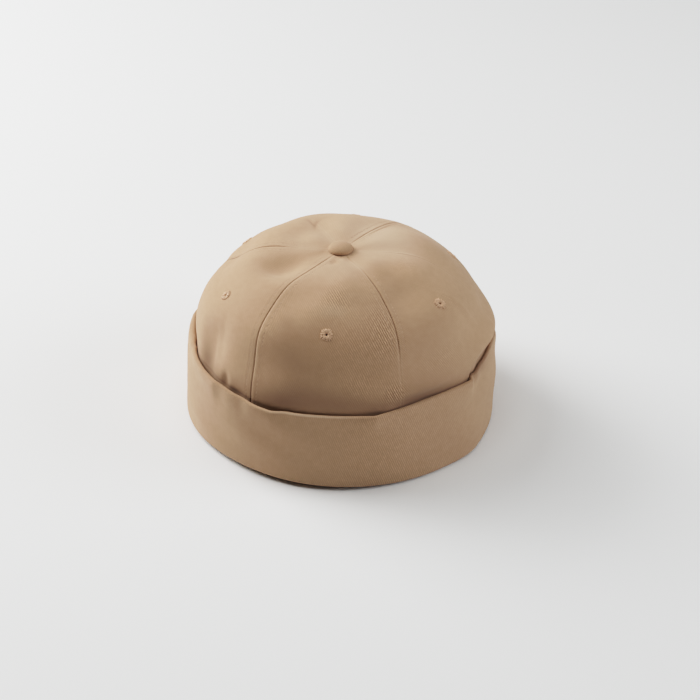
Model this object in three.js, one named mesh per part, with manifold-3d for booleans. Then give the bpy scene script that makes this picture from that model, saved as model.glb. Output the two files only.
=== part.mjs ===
// Docker cap: six sewn crown panels, a turned-up cuff, a covered button and six stitched eyelets.
// Millimetres, +Z up. The cap stands on its bottom fold at z = 0, its axis is Z and its front is -Y.
// A bearing is an angle round the cap in degrees, 0 at the front and growing towards +X.
import * as THREE from "three";
import { mergeVertices } from "three/addons/utils/BufferGeometryUtils.js";
import Module from "manifold-3d";

// Driving dimensions
const PANEL_COUNT = 6;
const PANEL_CLOTH = 1.4;
const SEAM_GAP = 0.3;
const SEAT_GAP = 0.3;
const PANEL_BULGE = 1.6;
const SEAM_DITCH = { deep: 0.35, wide: 1.8 };
const BACK_DROOP = 2.4;

// Where these grow from nothing to their full size, by the section's distance out or its height
const GROWTH = {
  bulgeOut: [6, 25],
  bulgeUp: [50, 72],
  ditchOut: [6, 16],
  droopOut: [8, 60],
  droopUp: [45, 95],
  sewnUp: [14, 40],
};

const CUFF_CLOTH = 1.2;
const CUFF_BASE_OUT = 98.3;
const CUFF_SEWN_OUT = 90.8;
const CUFF_SEWN_UP = 13.7;
const BOTTOM_FOLD_RADIUS = 2.2;
const RIM_FOLD_RADIUS = 1.2;
const HEM_INSET = 2 * RIM_FOLD_RADIUS;
const HEM_END_UP = 34;
const LEG_SHARES = [0.38, 0.7, 0.86];
const HEM_SHARE = 0.8;

// The bottom fold's lift off the table in front: its height, its middle and its reach round the cap
const FRONT_LIFT = { up: 2.2, bearing: -22, reach: 75 };

// The rim's corners turn within a few degrees at the rim and softly in the leg, this far below it, and
// the rim rolls in
const CORNER = { rimSoft: 0.5, legSoft: 14, deep: 16 };
const RIM_ROLL = { in: 0.6, deep: 7 };
const SOFT_SHARES = [-1, -0.75, -0.5, -0.25, 0, 0.25, 0.5, 0.75, 1];

// The cuff's hem holds the crown in, up to a height above the rim where the crown is free again
const HOLD = { gap: 0.8, soft: 0.35, freeFrom: 2, freeTo: 10 };

const BUTTON = { radius: 7.7, rise: 5.0, edge: 1.2 };
const EYELET = { hole: 1.0, outer: 4.0, rise: 0.8 };
const EYELET_SHARES = [0.449, 0.42, 0.472, 0.472, 0.472, 0.443];

// Facets
const PANEL_COLUMNS = 12;
const CUFF_STEPS = 72;
const BUTTON_SIDES = 20;
const EYELET_SIDES = 12;
const HOLE_SIDES = 10;
const DRILL_LENGTH = 6 * PANEL_CLOTH;
const DOME_TURNS = [0, 18, 36, 54, 72, 90];

// The crown's section, from the tip under the button down to the edge sewn to the cuff
const CROWN_SECTIONS = [
  { out: 4, up: 110.6 },
  { out: 12, up: 110.3 },
  { out: 26, up: 110.9 },
  { out: 40, up: 110.9 },
  { out: 51, up: 109.4 },
  { out: 60, up: 106.2 },
  { out: 68, up: 101.9 },
  { out: 75, up: 96.8 },
  { out: 80.5, up: 91 },
  { out: 84.5, up: 84 },
  { out: 87.6, up: 75 },
  { out: 90.8, up: 65 },
  { out: 92.9, up: 56 },
  { out: 93.3, up: 47 },
  { out: 92.2, up: 36 },
  { out: 91.4, up: 25 },
  { out: 91.5, up: 14 },
];

// Slumps, dents and puckers of the crown: the middle's bearing and its share of the section, the
// reach round the cap in degrees and along the section as a share, and the depth (swellings are minus)
const CROWN_FOLDS = [
  { fold: "left back slump", bearing: -105, share: 0.42, wide: 30, long: 0.15, deep: 6.6 },
  { fold: "right back slump", bearing: 114, share: 0.45, wide: 32, long: 0.16, deep: 4.6 },
  { fold: "left shoulder", bearing: -62, share: 0.42, wide: 20, long: 0.12, deep: 2.2 },
  { fold: "left side draws in", bearing: -77, share: 0.77, wide: 14, long: 0.08, deep: 3 },
  { fold: "dent left of the button", bearing: -58, share: 0.18, wide: 18, long: 0.08, deep: 7 },
  { fold: "dent behind the button", bearing: 174, share: 0.33, wide: 15, long: 0.09, deep: 3 },
  { fold: "right swelling", bearing: 90, share: 0.71, wide: 24, long: 0.065, deep: -5.4 },
  { fold: "right front sags", bearing: 46, share: 0.3, wide: 26, long: 0.11, deep: 5 },
  { fold: "right front seam stands out", bearing: 30, share: 0.62, wide: 13, long: 0.18, deep: -1.6 },
  { fold: "left front seam stands out", bearing: -31, share: 0.5, wide: 13, long: 0.26, deep: -1.2 },
  { fold: "front sets back", bearing: 0, share: 0.61, wide: 42, long: 0.11, deep: 1.6 },
  { fold: "long pucker", bearing: -51.5, share: 0.66, wide: 6, long: 0.13, deep: 3 },
  { fold: "short pucker", bearing: -41.2, share: 0.745, wide: 1.8, long: 0.035, deep: 1.3 },
  { fold: "low pucker", bearing: -35, share: 0.79, wide: 5, long: 0.035, deep: 1.2 },
  { fold: "back pucker", bearing: 172, share: 0.72, wide: 4, long: 0.1, deep: 1.8 },
];

// Where a seam strays from its even place: its bearing, the share, the reach round the cap in degrees and
// along the section as a share, and the degrees that it strays to the right
const SEAM_DRIFTS = [
  { seam: -90, share: 0.55, wide: 20, long: 0.27, stray: -18 },
  { seam: -30, share: 0.75, wide: 28, long: 0.2, stray: 1.9 },
  { seam: 30, share: 0.22, wide: 28, long: 0.26, stray: 4.4 },
];

// Corners of the cuff's rim, and how round the run from each to the next is: 0 is straight, 1 an arc
const RIM_CORNERS = [
  { bearing: -120, out: 97, up: 54, round: 0.55 },
  { bearing: -97, out: 97.4, up: 51.8, round: 0.75 },
  { bearing: -61.5, out: 96.2, up: 55.2, round: 0.15 },
  { bearing: -45, out: 98.4, up: 54.3, round: 0.9 },
  { bearing: -18.5, out: 98.6, up: 50.4, round: 0.4 },
  { bearing: 19, out: 99.6, up: 52, round: 0.25 },
  { bearing: 62, out: 99.3, up: 51.8, round: 0.1 },
  { bearing: 70, out: 95.8, up: 54.4, round: 0.6 },
  { bearing: 96, out: 97.8, up: 53, round: 0.5 },
  { bearing: 128, out: 98, up: 52, round: 0.55 },
  { bearing: 158, out: 97, up: 53, round: 0.55 },
  { bearing: 190, out: 98, up: 53, round: 0.55 },
  { bearing: 222, out: 97, up: 54, round: 0.55 },
];

// Where the bottom fold swells out of its circle or draws in
const BASE_SWELLS = [
  { bearing: -36, wide: 24, out: -1.8 },
  { bearing: 60, wide: 9, out: 1.8 },
  { bearing: 95, wide: 20, out: -1.6 },
];

const TWILL = { color: 0xb29277, roughness: 0.9, metalness: 0 };
const THREAD = { color: 0xc2a488, roughness: 0.7, metalness: 0 };

const crownCurve = new THREE.SplineCurve(CROWN_SECTIONS.map((row) => new THREE.Vector2(row.out, row.up)));
const radians = THREE.MathUtils.degToRad;
const ease = (from, to, value) => THREE.MathUtils.smoothstep(value, from, to);
const bell = (offset, reach) => Math.exp(-((offset / reach) ** 2));

function turnBetween(from, to) {
  return THREE.MathUtils.euclideanModulo(to - from + 180, 360) - 180;
}

function placeAt(bearing, out, up) {
  const turn = radians(bearing);
  return new THREE.Vector3(out * Math.sin(turn), -out * Math.cos(turn), up);
}

// Cuff's outer face

// The rim at a bearing, with sharp corners
function sharpRimAt(bearing) {
  const count = RIM_CORNERS.length;
  const ahead = (corner) => THREE.MathUtils.euclideanModulo(bearing - corner.bearing, 360);
  const nearest = Math.min(...RIM_CORNERS.map(ahead));
  const index = RIM_CORNERS.findIndex((corner) => ahead(corner) === nearest);
  const from = RIM_CORNERS[index];
  const to = RIM_CORNERS[(index + 1) % count];
  const span = THREE.MathUtils.euclideanModulo(to.bearing - from.bearing, 360);
  const past = radians(nearest);
  const left = radians(span - nearest);
  const chord = (from.out * to.out * Math.sin(past + left)) /
    (from.out * Math.sin(past) + to.out * Math.sin(left));
  const arc = THREE.MathUtils.lerp(from.out, to.out, nearest / span);
  return {
    out: THREE.MathUtils.lerp(chord, arc, from.round),
    up: THREE.MathUtils.lerp(from.up, to.up, nearest / span),
  };
}

// The rim with its corners softened by some degrees to each side
function rimAt(bearing, soft) {
  const places = SOFT_SHARES.map((share) => sharpRimAt(bearing + share * soft));
  const mean = (name) => places.reduce((sum, place) => sum + place[name], 0) / places.length;
  return { out: mean("out"), up: mean("up") };
}

function baseOut(bearing) {
  const swells = BASE_SWELLS.map((row) => row.out * bell(turnBetween(row.bearing, bearing), row.wide));
  return swells.reduce((sum, swell) => sum + swell, CUFF_BASE_OUT);
}

// Distance out of the cuff's outer face at a bearing and a height
function legFace(bearing, up) {
  const rim = rimAt(bearing, CORNER.rimSoft);
  const leg = rimAt(bearing, CORNER.legSoft);
  const face = THREE.MathUtils.lerp(baseOut(bearing), leg.out, ease(0, rim.up, up));
  const corner = (rim.out - leg.out) * ease(rim.up - CORNER.deep, rim.up, up);
  return face + corner - RIM_ROLL.in * ease(rim.up - RIM_ROLL.deep, rim.up, up) ** 2;
}

// Crown

function foldDepth(bearing, share) {
  const depths = CROWN_FOLDS.map((row) => {
    const across = bell(turnBetween(row.bearing, bearing), row.wide);
    return row.deep * across * bell(share - row.share, row.long);
  });
  return depths.reduce((sum, depth) => sum + depth, 0);
}

// How far the cuff's hem holds the crown in
function heldIn(bearing, out, up) {
  const rimUp = rimAt(bearing, CORNER.rimSoft).up;
  const room = legFace(bearing, up) - HEM_INSET - CUFF_CLOTH - HOLD.gap;
  const excess = HOLD.soft * Math.log1p(Math.exp((out - room) / HOLD.soft));
  return excess * (1 - ease(rimUp + HOLD.freeFrom, rimUp + HOLD.freeTo, up));
}

// Degrees by which the cloth strays round the cap, along with the nearest seam
function seamDrift(bearing, share) {
  const strays = SEAM_DRIFTS.map((row) => {
    const across = bell(turnBetween(row.seam, bearing), row.wide);
    return row.stray * across * bell(share - row.share, row.long);
  });
  return strays.reduce((sum, stray) => sum + stray, 0);
}

// A point of the crown, lifted along its section's normal
function crownPoint(bearing, share, lift) {
  const { x: out, y: up } = crownCurve.getPoint(share);
  const along = crownCurve.getTangent(share);
  const panelAngle = 360 / PANEL_COUNT;
  const fromSeam = Math.abs(turnBetween(panelAngle / 2, bearing)) % panelAngle;
  const seamAngle = Math.min(fromSeam, panelAngle - fromSeam);
  const swell = Math.sin(radians((seamAngle * PANEL_COUNT) / 2)) ** 2;
  const bulge = PANEL_BULGE * swell * ease(...GROWTH.bulgeOut, out) * ease(...GROWTH.bulgeUp, up);
  const pulledIn = bell(out * radians(seamAngle), SEAM_DITCH.wide);
  const ditch = SEAM_DITCH.deep * pulledIn * ease(...GROWTH.ditchOut, out);
  const around = bearing + seamDrift(bearing, share);
  const height = (bulge - ditch - foldDepth(around, share)) * ease(...GROWTH.sewnUp, up);
  const toBack = (1 - Math.cos(radians(around))) / 2;
  const droop = BACK_DROOP * toBack * ease(...GROWTH.droopOut, out) * ease(...GROWTH.droopUp, up);
  const freeOut = out - along.y * height;
  const faceUp = up + along.x * height - droop;
  const faceOut = freeOut - heldIn(around, freeOut, faceUp);
  return placeAt(around, faceOut - along.y * lift, faceUp + along.x * lift);
}

// A closed wall between two grids of points: the outer one, seen from outside, and the inner one
function wallGeometry(columns, rows, pointAt) {
  const positions = [];
  const faces = [];
  const perSide = (columns + 1) * (rows + 1);
  const at = (side, column, row) => side * perSide + row * (columns + 1) + column;
  const quad = (a, b, c, d) => faces.push(a, b, c, a, c, d);
  for (const side of [0, 1]) {
    for (let row = 0; row <= rows; row += 1) {
      for (let column = 0; column <= columns; column += 1) {
        positions.push(...pointAt(column / columns, row / rows, side).toArray());
      }
    }
  }
  for (let row = 0; row < rows; row += 1) {
    for (let column = 0; column < columns; column += 1) {
      quad(at(0, column, row), at(0, column, row + 1), at(0, column + 1, row + 1), at(0, column + 1, row));
      quad(at(1, column, row), at(1, column + 1, row), at(1, column + 1, row + 1), at(1, column, row + 1));
    }
    quad(at(0, 0, row), at(1, 0, row), at(1, 0, row + 1), at(0, 0, row + 1));
    quad(at(0, columns, row), at(0, columns, row + 1), at(1, columns, row + 1), at(1, columns, row));
  }
  for (let column = 0; column < columns; column += 1) {
    quad(at(0, column, 0), at(0, column + 1, 0), at(1, column + 1, 0), at(1, column, 0));
    quad(at(0, column, rows), at(1, column, rows), at(1, column + 1, rows), at(0, column + 1, rows));
  }
  const geometry = new THREE.BufferGeometry();
  geometry.setAttribute("position", new THREE.Float32BufferAttribute(positions, 3));
  geometry.setIndex(faces);
  return geometry;
}

// One gore: columns crowd towards the seams, and each edge keeps half the seam gap
function panelGeometry(middle) {
  const rows = CROWN_SECTIONS.length - 1;
  return wallGeometry(PANEL_COLUMNS, rows, (across, share, side) => {
    const out = crownCurve.getPoint(share).x;
    const half = 180 / PANEL_COUNT - THREE.MathUtils.radToDeg(Math.asin(SEAM_GAP / 2 / out));
    const spread = Math.sin((across - 0.5) * Math.PI);
    return crownPoint(middle + half * spread, share, -side * PANEL_CLOTH);
  });
}

// Where a panel's eyelet sits, and the way it faces
function eyeletSeat(bearing, share) {
  const step = { turn: 1, share: 0.01 };
  const point = crownPoint(bearing, share, 0);
  const across = crownPoint(bearing + step.turn, share, 0).sub(point);
  const down = crownPoint(bearing, share + step.share, 0).sub(point);
  const facing = down.cross(across).normalize();
  return { point, turn: new THREE.Quaternion().setFromUnitVectors(new THREE.Vector3(0, 0, 1), facing) };
}

// Solid joins and cuts

const wasm = await Module();
wasm.setup();

function toSolid(geometry) {
  const bare = geometry.clone();
  bare.deleteAttribute("normal");
  bare.deleteAttribute("uv");
  const merged = mergeVertices(bare);
  const vertProperties = new Float32Array(merged.attributes.position.array);
  const triVerts = new Uint32Array(merged.index.array);
  return new wasm.Manifold(new wasm.Mesh({ numProp: 3, vertProperties, triVerts }));
}

function toGeometry(solid) {
  const { vertProperties, triVerts } = solid.getMesh();
  const geometry = new THREE.BufferGeometry();
  geometry.setAttribute("position", new THREE.Float32BufferAttribute(vertProperties, 3));
  geometry.setIndex(Array.from(triVerts));
  return geometry;
}

function cutEyeletHole(panel, seat) {
  const drill = new THREE.CylinderGeometry(EYELET.hole, EYELET.hole, DRILL_LENGTH, HOLE_SIDES);
  drill.rotateX(Math.PI / 2);
  drill.applyQuaternion(seat.turn);
  drill.translate(...seat.point.toArray());
  return toGeometry(toSolid(panel).subtract(toSolid(drill)));
}

// Cuff

// The middle of the cuff's cloth at a bearing, from its sewn edge round to the end of its hem. Each
// station has a place and the way its face looks, which turns from the head round to the outside.
function cuffStations(bearing) {
  const half = CUFF_CLOTH / 2;
  const rim = rimAt(bearing, CORNER.rimSoft);
  const fromLift = Math.abs(turnBetween(FRONT_LIFT.bearing, bearing));
  const lift = FRONT_LIFT.up * (1 - ease(0, FRONT_LIFT.reach, fromLift));
  const legOut = (up) => legFace(bearing, up) - half;
  const arc = (out, up, radius, faces) => ({
    out: out + radius * Math.cos(radians(faces)),
    up: up + radius * Math.sin(radians(faces)),
    faces,
  });
  const foldUp = half + BOTTOM_FOLD_RADIUS + lift;
  const rimUp = rim.up - half - RIM_FOLD_RADIUS;
  const innerFold = (faces) => arc(CUFF_SEWN_OUT + BOTTOM_FOLD_RADIUS, foldUp, BOTTOM_FOLD_RADIUS, faces);
  const outerFold = (faces) => arc(legOut(foldUp) - BOTTOM_FOLD_RADIUS, foldUp, BOTTOM_FOLD_RADIUS, faces);
  const rimFold = (faces) => arc(legOut(rimUp) - RIM_FOLD_RADIUS, rimUp, RIM_FOLD_RADIUS, faces);
  const leg = (up) => ({ out: legOut(up), up, faces: 360 });
  const hem = (up) => ({ out: legOut(up) - HEM_INSET, up, faces: 540 });
  return [
    { out: CUFF_SEWN_OUT, up: CUFF_SEWN_UP, faces: 180 },
    ...[180, 225, 270].map(innerFold),
    ...[270, 315, 360].map(outerFold),
    ...LEG_SHARES.map((share) => leg(share * rim.up)),
    ...[360, 405, 450, 495, 540].map(rimFold),
    hem(HEM_SHARE * rim.up),
    hem(HEM_END_UP),
  ];
}

function cuffBearings() {
  const step = 360 / CUFF_STEPS;
  return Array.from({ length: CUFF_STEPS }, (_, index) => {
    const even = -180 + index * step;
    const corner = RIM_CORNERS.find((row) => Math.abs(turnBetween(even, row.bearing)) < step / 2);
    return corner ? corner.bearing : even;
  });
}

function cuffGeometry() {
  const positions = [];
  const faces = [];
  const bearings = cuffBearings();
  let loop = 0;
  for (const bearing of bearings) {
    const stations = cuffStations(bearing);
    const skin = (station, lift) => {
      const faceTurn = radians(station.faces);
      const out = station.out + lift * Math.cos(faceTurn);
      return placeAt(bearing, out, station.up + lift * Math.sin(faceTurn));
    };
    const face = stations.map((station) => skin(station, CUFF_CLOTH / 2));
    const back = stations.map((station) => skin(station, -CUFF_CLOTH / 2)).reverse();
    const points = [...face, ...back];
    loop = points.length;
    points.forEach((point) => positions.push(...point.toArray()));
  }
  for (let step = 0; step < bearings.length; step += 1) {
    const here = step * loop;
    const there = ((step + 1) % bearings.length) * loop;
    for (let index = 0; index < loop; index += 1) {
      const next = (index + 1) % loop;
      faces.push(here + index, there + index, there + next, here + index, there + next, here + next);
    }
  }
  const geometry = new THREE.BufferGeometry();
  geometry.setAttribute("position", new THREE.Float32BufferAttribute(positions, 3));
  geometry.setIndex(faces);
  return geometry;
}

// Button and eyelets

function buttonGeometry() {
  const { radius, rise, edge } = BUTTON;
  const dome = DOME_TURNS.map((turn) => {
    const out = radius * Math.cos(radians(turn));
    return new THREE.Vector2(turn === 90 ? 0 : out, edge + (rise - edge) * Math.sin(radians(turn)));
  });
  const profile = [new THREE.Vector2(0, 0), new THREE.Vector2(0.9 * radius, 0), ...dome];
  return new THREE.LatheGeometry(profile, BUTTON_SIDES).rotateX(Math.PI / 2);
}

function eyeletGeometry() {
  const { hole, outer, rise } = EYELET;
  const ring = [
    { out: hole, up: 0 },
    { out: 0.95 * outer, up: 0 },
    { out: outer, up: 0.35 * rise },
    { out: 0.8 * outer, up: 0.95 * rise },
    { out: 0.45 * outer, up: rise },
    { out: 1.1 * hole, up: 0.6 * rise },
    { out: hole, up: 0 },
  ];
  const profile = ring.map((row) => new THREE.Vector2(row.out, row.up));
  return new THREE.LatheGeometry(profile, EYELET_SIDES).rotateX(Math.PI / 2);
}

// Assembly

const cap = new THREE.Group();

function addPiece(name, geometry, look) {
  const mesh = new THREE.Mesh(geometry, new THREE.MeshStandardMaterial(look));
  mesh.name = name;
  cap.add(mesh);
  return mesh;
}

for (let index = 0; index < PANEL_COUNT; index += 1) {
  const middle = turnBetween(0, (index * 360) / PANEL_COUNT);
  const seat = eyeletSeat(middle, EYELET_SHARES[index]);
  addPiece(`crown_panel_${index + 1}`, cutEyeletHole(panelGeometry(middle), seat), TWILL);
  const eyelet = addPiece(`eyelet_${index + 1}`, eyeletGeometry(), THREAD);
  const lift = new THREE.Vector3(0, 0, SEAT_GAP).applyQuaternion(seat.turn);
  eyelet.position.copy(seat.point).add(lift);
  eyelet.quaternion.copy(seat.turn);
}

addPiece("cuff", cuffGeometry(), TWILL);

const button = addPiece("top_button", buttonGeometry(), TWILL);
button.position.z = CROWN_SECTIONS[0].up + SEAT_GAP;

export default cap;
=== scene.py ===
# %% [markdown]
# # A docker cap in cotton twill
# This lesson dresses a brimless cap: six sewn panels, a turned-up cuff, a covered button and six worked
# eyelets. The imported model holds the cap's solids at their real size, so it is loaded first as a frame.
# Every piece below is made in that frame, in metres, and takes the place of one of its solids.

# %% Load the frame
import math

import bpy
import numpy as np
from mathutils import Matrix, Vector


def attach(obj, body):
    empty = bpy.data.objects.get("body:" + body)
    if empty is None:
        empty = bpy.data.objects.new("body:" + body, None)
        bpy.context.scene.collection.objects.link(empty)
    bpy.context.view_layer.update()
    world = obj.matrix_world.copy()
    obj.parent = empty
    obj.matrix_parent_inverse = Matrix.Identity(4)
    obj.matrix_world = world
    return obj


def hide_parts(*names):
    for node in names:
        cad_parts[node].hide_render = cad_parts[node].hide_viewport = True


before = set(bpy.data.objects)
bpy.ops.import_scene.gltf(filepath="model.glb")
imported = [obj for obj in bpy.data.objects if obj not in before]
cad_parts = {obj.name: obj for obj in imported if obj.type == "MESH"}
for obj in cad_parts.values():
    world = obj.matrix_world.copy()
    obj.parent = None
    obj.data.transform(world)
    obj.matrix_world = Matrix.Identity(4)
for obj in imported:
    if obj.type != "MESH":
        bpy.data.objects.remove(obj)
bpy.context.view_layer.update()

MM = 0.001
print("nodes in the frame:", ", ".join(sorted(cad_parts)))

# %% [markdown]
# ## Camera
# A long lens a good metre away shows the cap from above, a few degrees to the right of its front. A
# shorter lens up close would swell the near side of the cuff. The camera stands at a bearing and a height
# angle from the cap's foot, and is then aimed at a point above that foot, so that no lens shift is needed.

# %% Place the camera
VIEW_BEARING = math.radians(7)
VIEW_HEIGHT = math.radians(33.5)
VIEW_DISTANCE = 1300 * MM
LENS = 104.3
AIM_RIGHT = 5.8 * MM
AIM_UP = 32.4 * MM


def aim(thing, target):
    """Turn a camera or a light so that it looks at a point."""
    thing.rotation_euler = (Vector(target) - thing.location).to_track_quat("-Z", "Y").to_euler()


def add_to_scene(name, data):
    """Make an object for a mesh, camera or light, and link it to the scene."""
    thing = bpy.data.objects.new(name, data)
    bpy.context.scene.collection.objects.link(thing)
    return thing


camera = add_to_scene("camera", bpy.data.cameras.new("camera"))
camera.data.lens = LENS
camera.location = VIEW_DISTANCE * Vector((
    math.cos(VIEW_HEIGHT) * math.sin(VIEW_BEARING),
    -math.cos(VIEW_HEIGHT) * math.cos(VIEW_BEARING),
    math.sin(VIEW_HEIGHT),
))
view_right = Vector((math.cos(VIEW_BEARING), math.sin(VIEW_BEARING), 0))
view_up = view_right.cross(-camera.location).normalized()
aim(camera, AIM_RIGHT * view_right + AIM_UP * view_up)
bpy.context.scene.camera = camera
print("camera at", [round(value, 3) for value in camera.location])

# %% [markdown]
# ## Materials are small node trees
# Each finish is one Principled shader with a few textures. A short function adds a node, sets it and links
# it, and another turns the hex colours that a designer writes into the linear values that light needs.

# %% Helpers for colours and nodes


def linear(hex_code):
    """Linear RGBA of an sRGB hex colour."""
    parts = [int(hex_code[start:start + 2], 16) / 255 for start in (1, 3, 5)]
    rgb = [part / 12.92 if part <= 0.04045 else ((part + 0.055) / 1.055) ** 2.4 for part in parts]
    return (*rgb, 1.0)


def add_node(tree, kind, inputs=None, **settings):
    """Add a node with its settings; an input, by name or number, is set or linked."""
    node = tree.nodes.new(kind)
    for name, value in settings.items():
        setattr(node, name, value)
    for key, value in (inputs or {}).items():
        if isinstance(value, bpy.types.NodeSocket):
            tree.links.new(value, node.inputs[key])
        else:
            node.inputs[key].default_value = value
    return node


def start_material(name):
    """A new material with a Principled shader; gives back the material, its tree and that shader."""
    material = bpy.data.materials.new(name)
    material.use_nodes = True
    return material, material.node_tree, material.node_tree.nodes["Principled BSDF"]


# Socket numbers of a mix node that mixes colours
MIX_FACTOR, MIX_A, MIX_B, MIX_RESULT = 0, 6, 7, 2
MID_GREY = "#808080"
print("mid grey", MID_GREY, "is linear", round(linear(MID_GREY)[0], 3))

# %% [markdown]
# ## Brushed cotton twill
# Chino twill is woven so that each weft thread passes over two or three warps, one step on in every row.
# That gives fine slanting ribs. Brushing raises a soft nap, so the cloth is matt, keeps no clear
# highlight and goes a little pale where it turns away from the eye. The ribs of real chino are about half
# a millimetre apart, too fine for this picture, so they are drawn at 1.2 mm and broken into short dashes.
# The nap hides them almost everywhere. Where it has worn off, an attribute of the mesh lets them show. They
# follow each piece's own UV map, laid out in metres on the flat cut, so that they turn with the cloth.

# %% The twill material
KHAKI_DARK, KHAKI_LIGHT = "#A58467", "#B29175"
# Paler khaki for rubbed nap and painted light, darker khaki for dirt and painted shade, and the tint of the
# nap's sheen
KHAKI_RUBBED_AND_LIT, KHAKI_SOILED_AND_SHADED, NAP_TINT = "#CDB299", "#7E614C", "#E6D3C0"

# The ribs: a wave texture at scale 1 repeats after the period below
WAVE_PERIOD = 2 * math.pi / 20
RIB_SPACING = 1.2 * MM
RIB_WOBBLE, RIB_WOBBLE_SCALE = 2.0, 1.2
RIB_CONTRAST, RIB_THROUGH_NAP = 1.3, 0.09
RIB_HEIGHT, RIB_OVER_FIBRE = 0.05 * MM, 2.0
DASH_STRETCH = 0.45

# The nap: sizes of its noises, the part of their range that is used, and what that part is spread to
FIBRE_SIZE, SLUB_SIZE, TONE_SIZE = 0.45 * MM, 5 * MM, 45 * MM
NOISE_LOW, NOISE_HIGH = 0.3, 0.7
FIBRE_TONES, CLOUD_TONES = (0.94, 1.05), (0.97, 1.03)
NAP_ROUGHNESS = (0.84, 0.98)

# A rib and a dash average a half each, and so does the loose fibre that is laid over them
FIBRE_SHARE = 0.9
WEAVE_MEAN = 0.5 * 0.5 + 0.5 * FIBRE_SHARE


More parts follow.
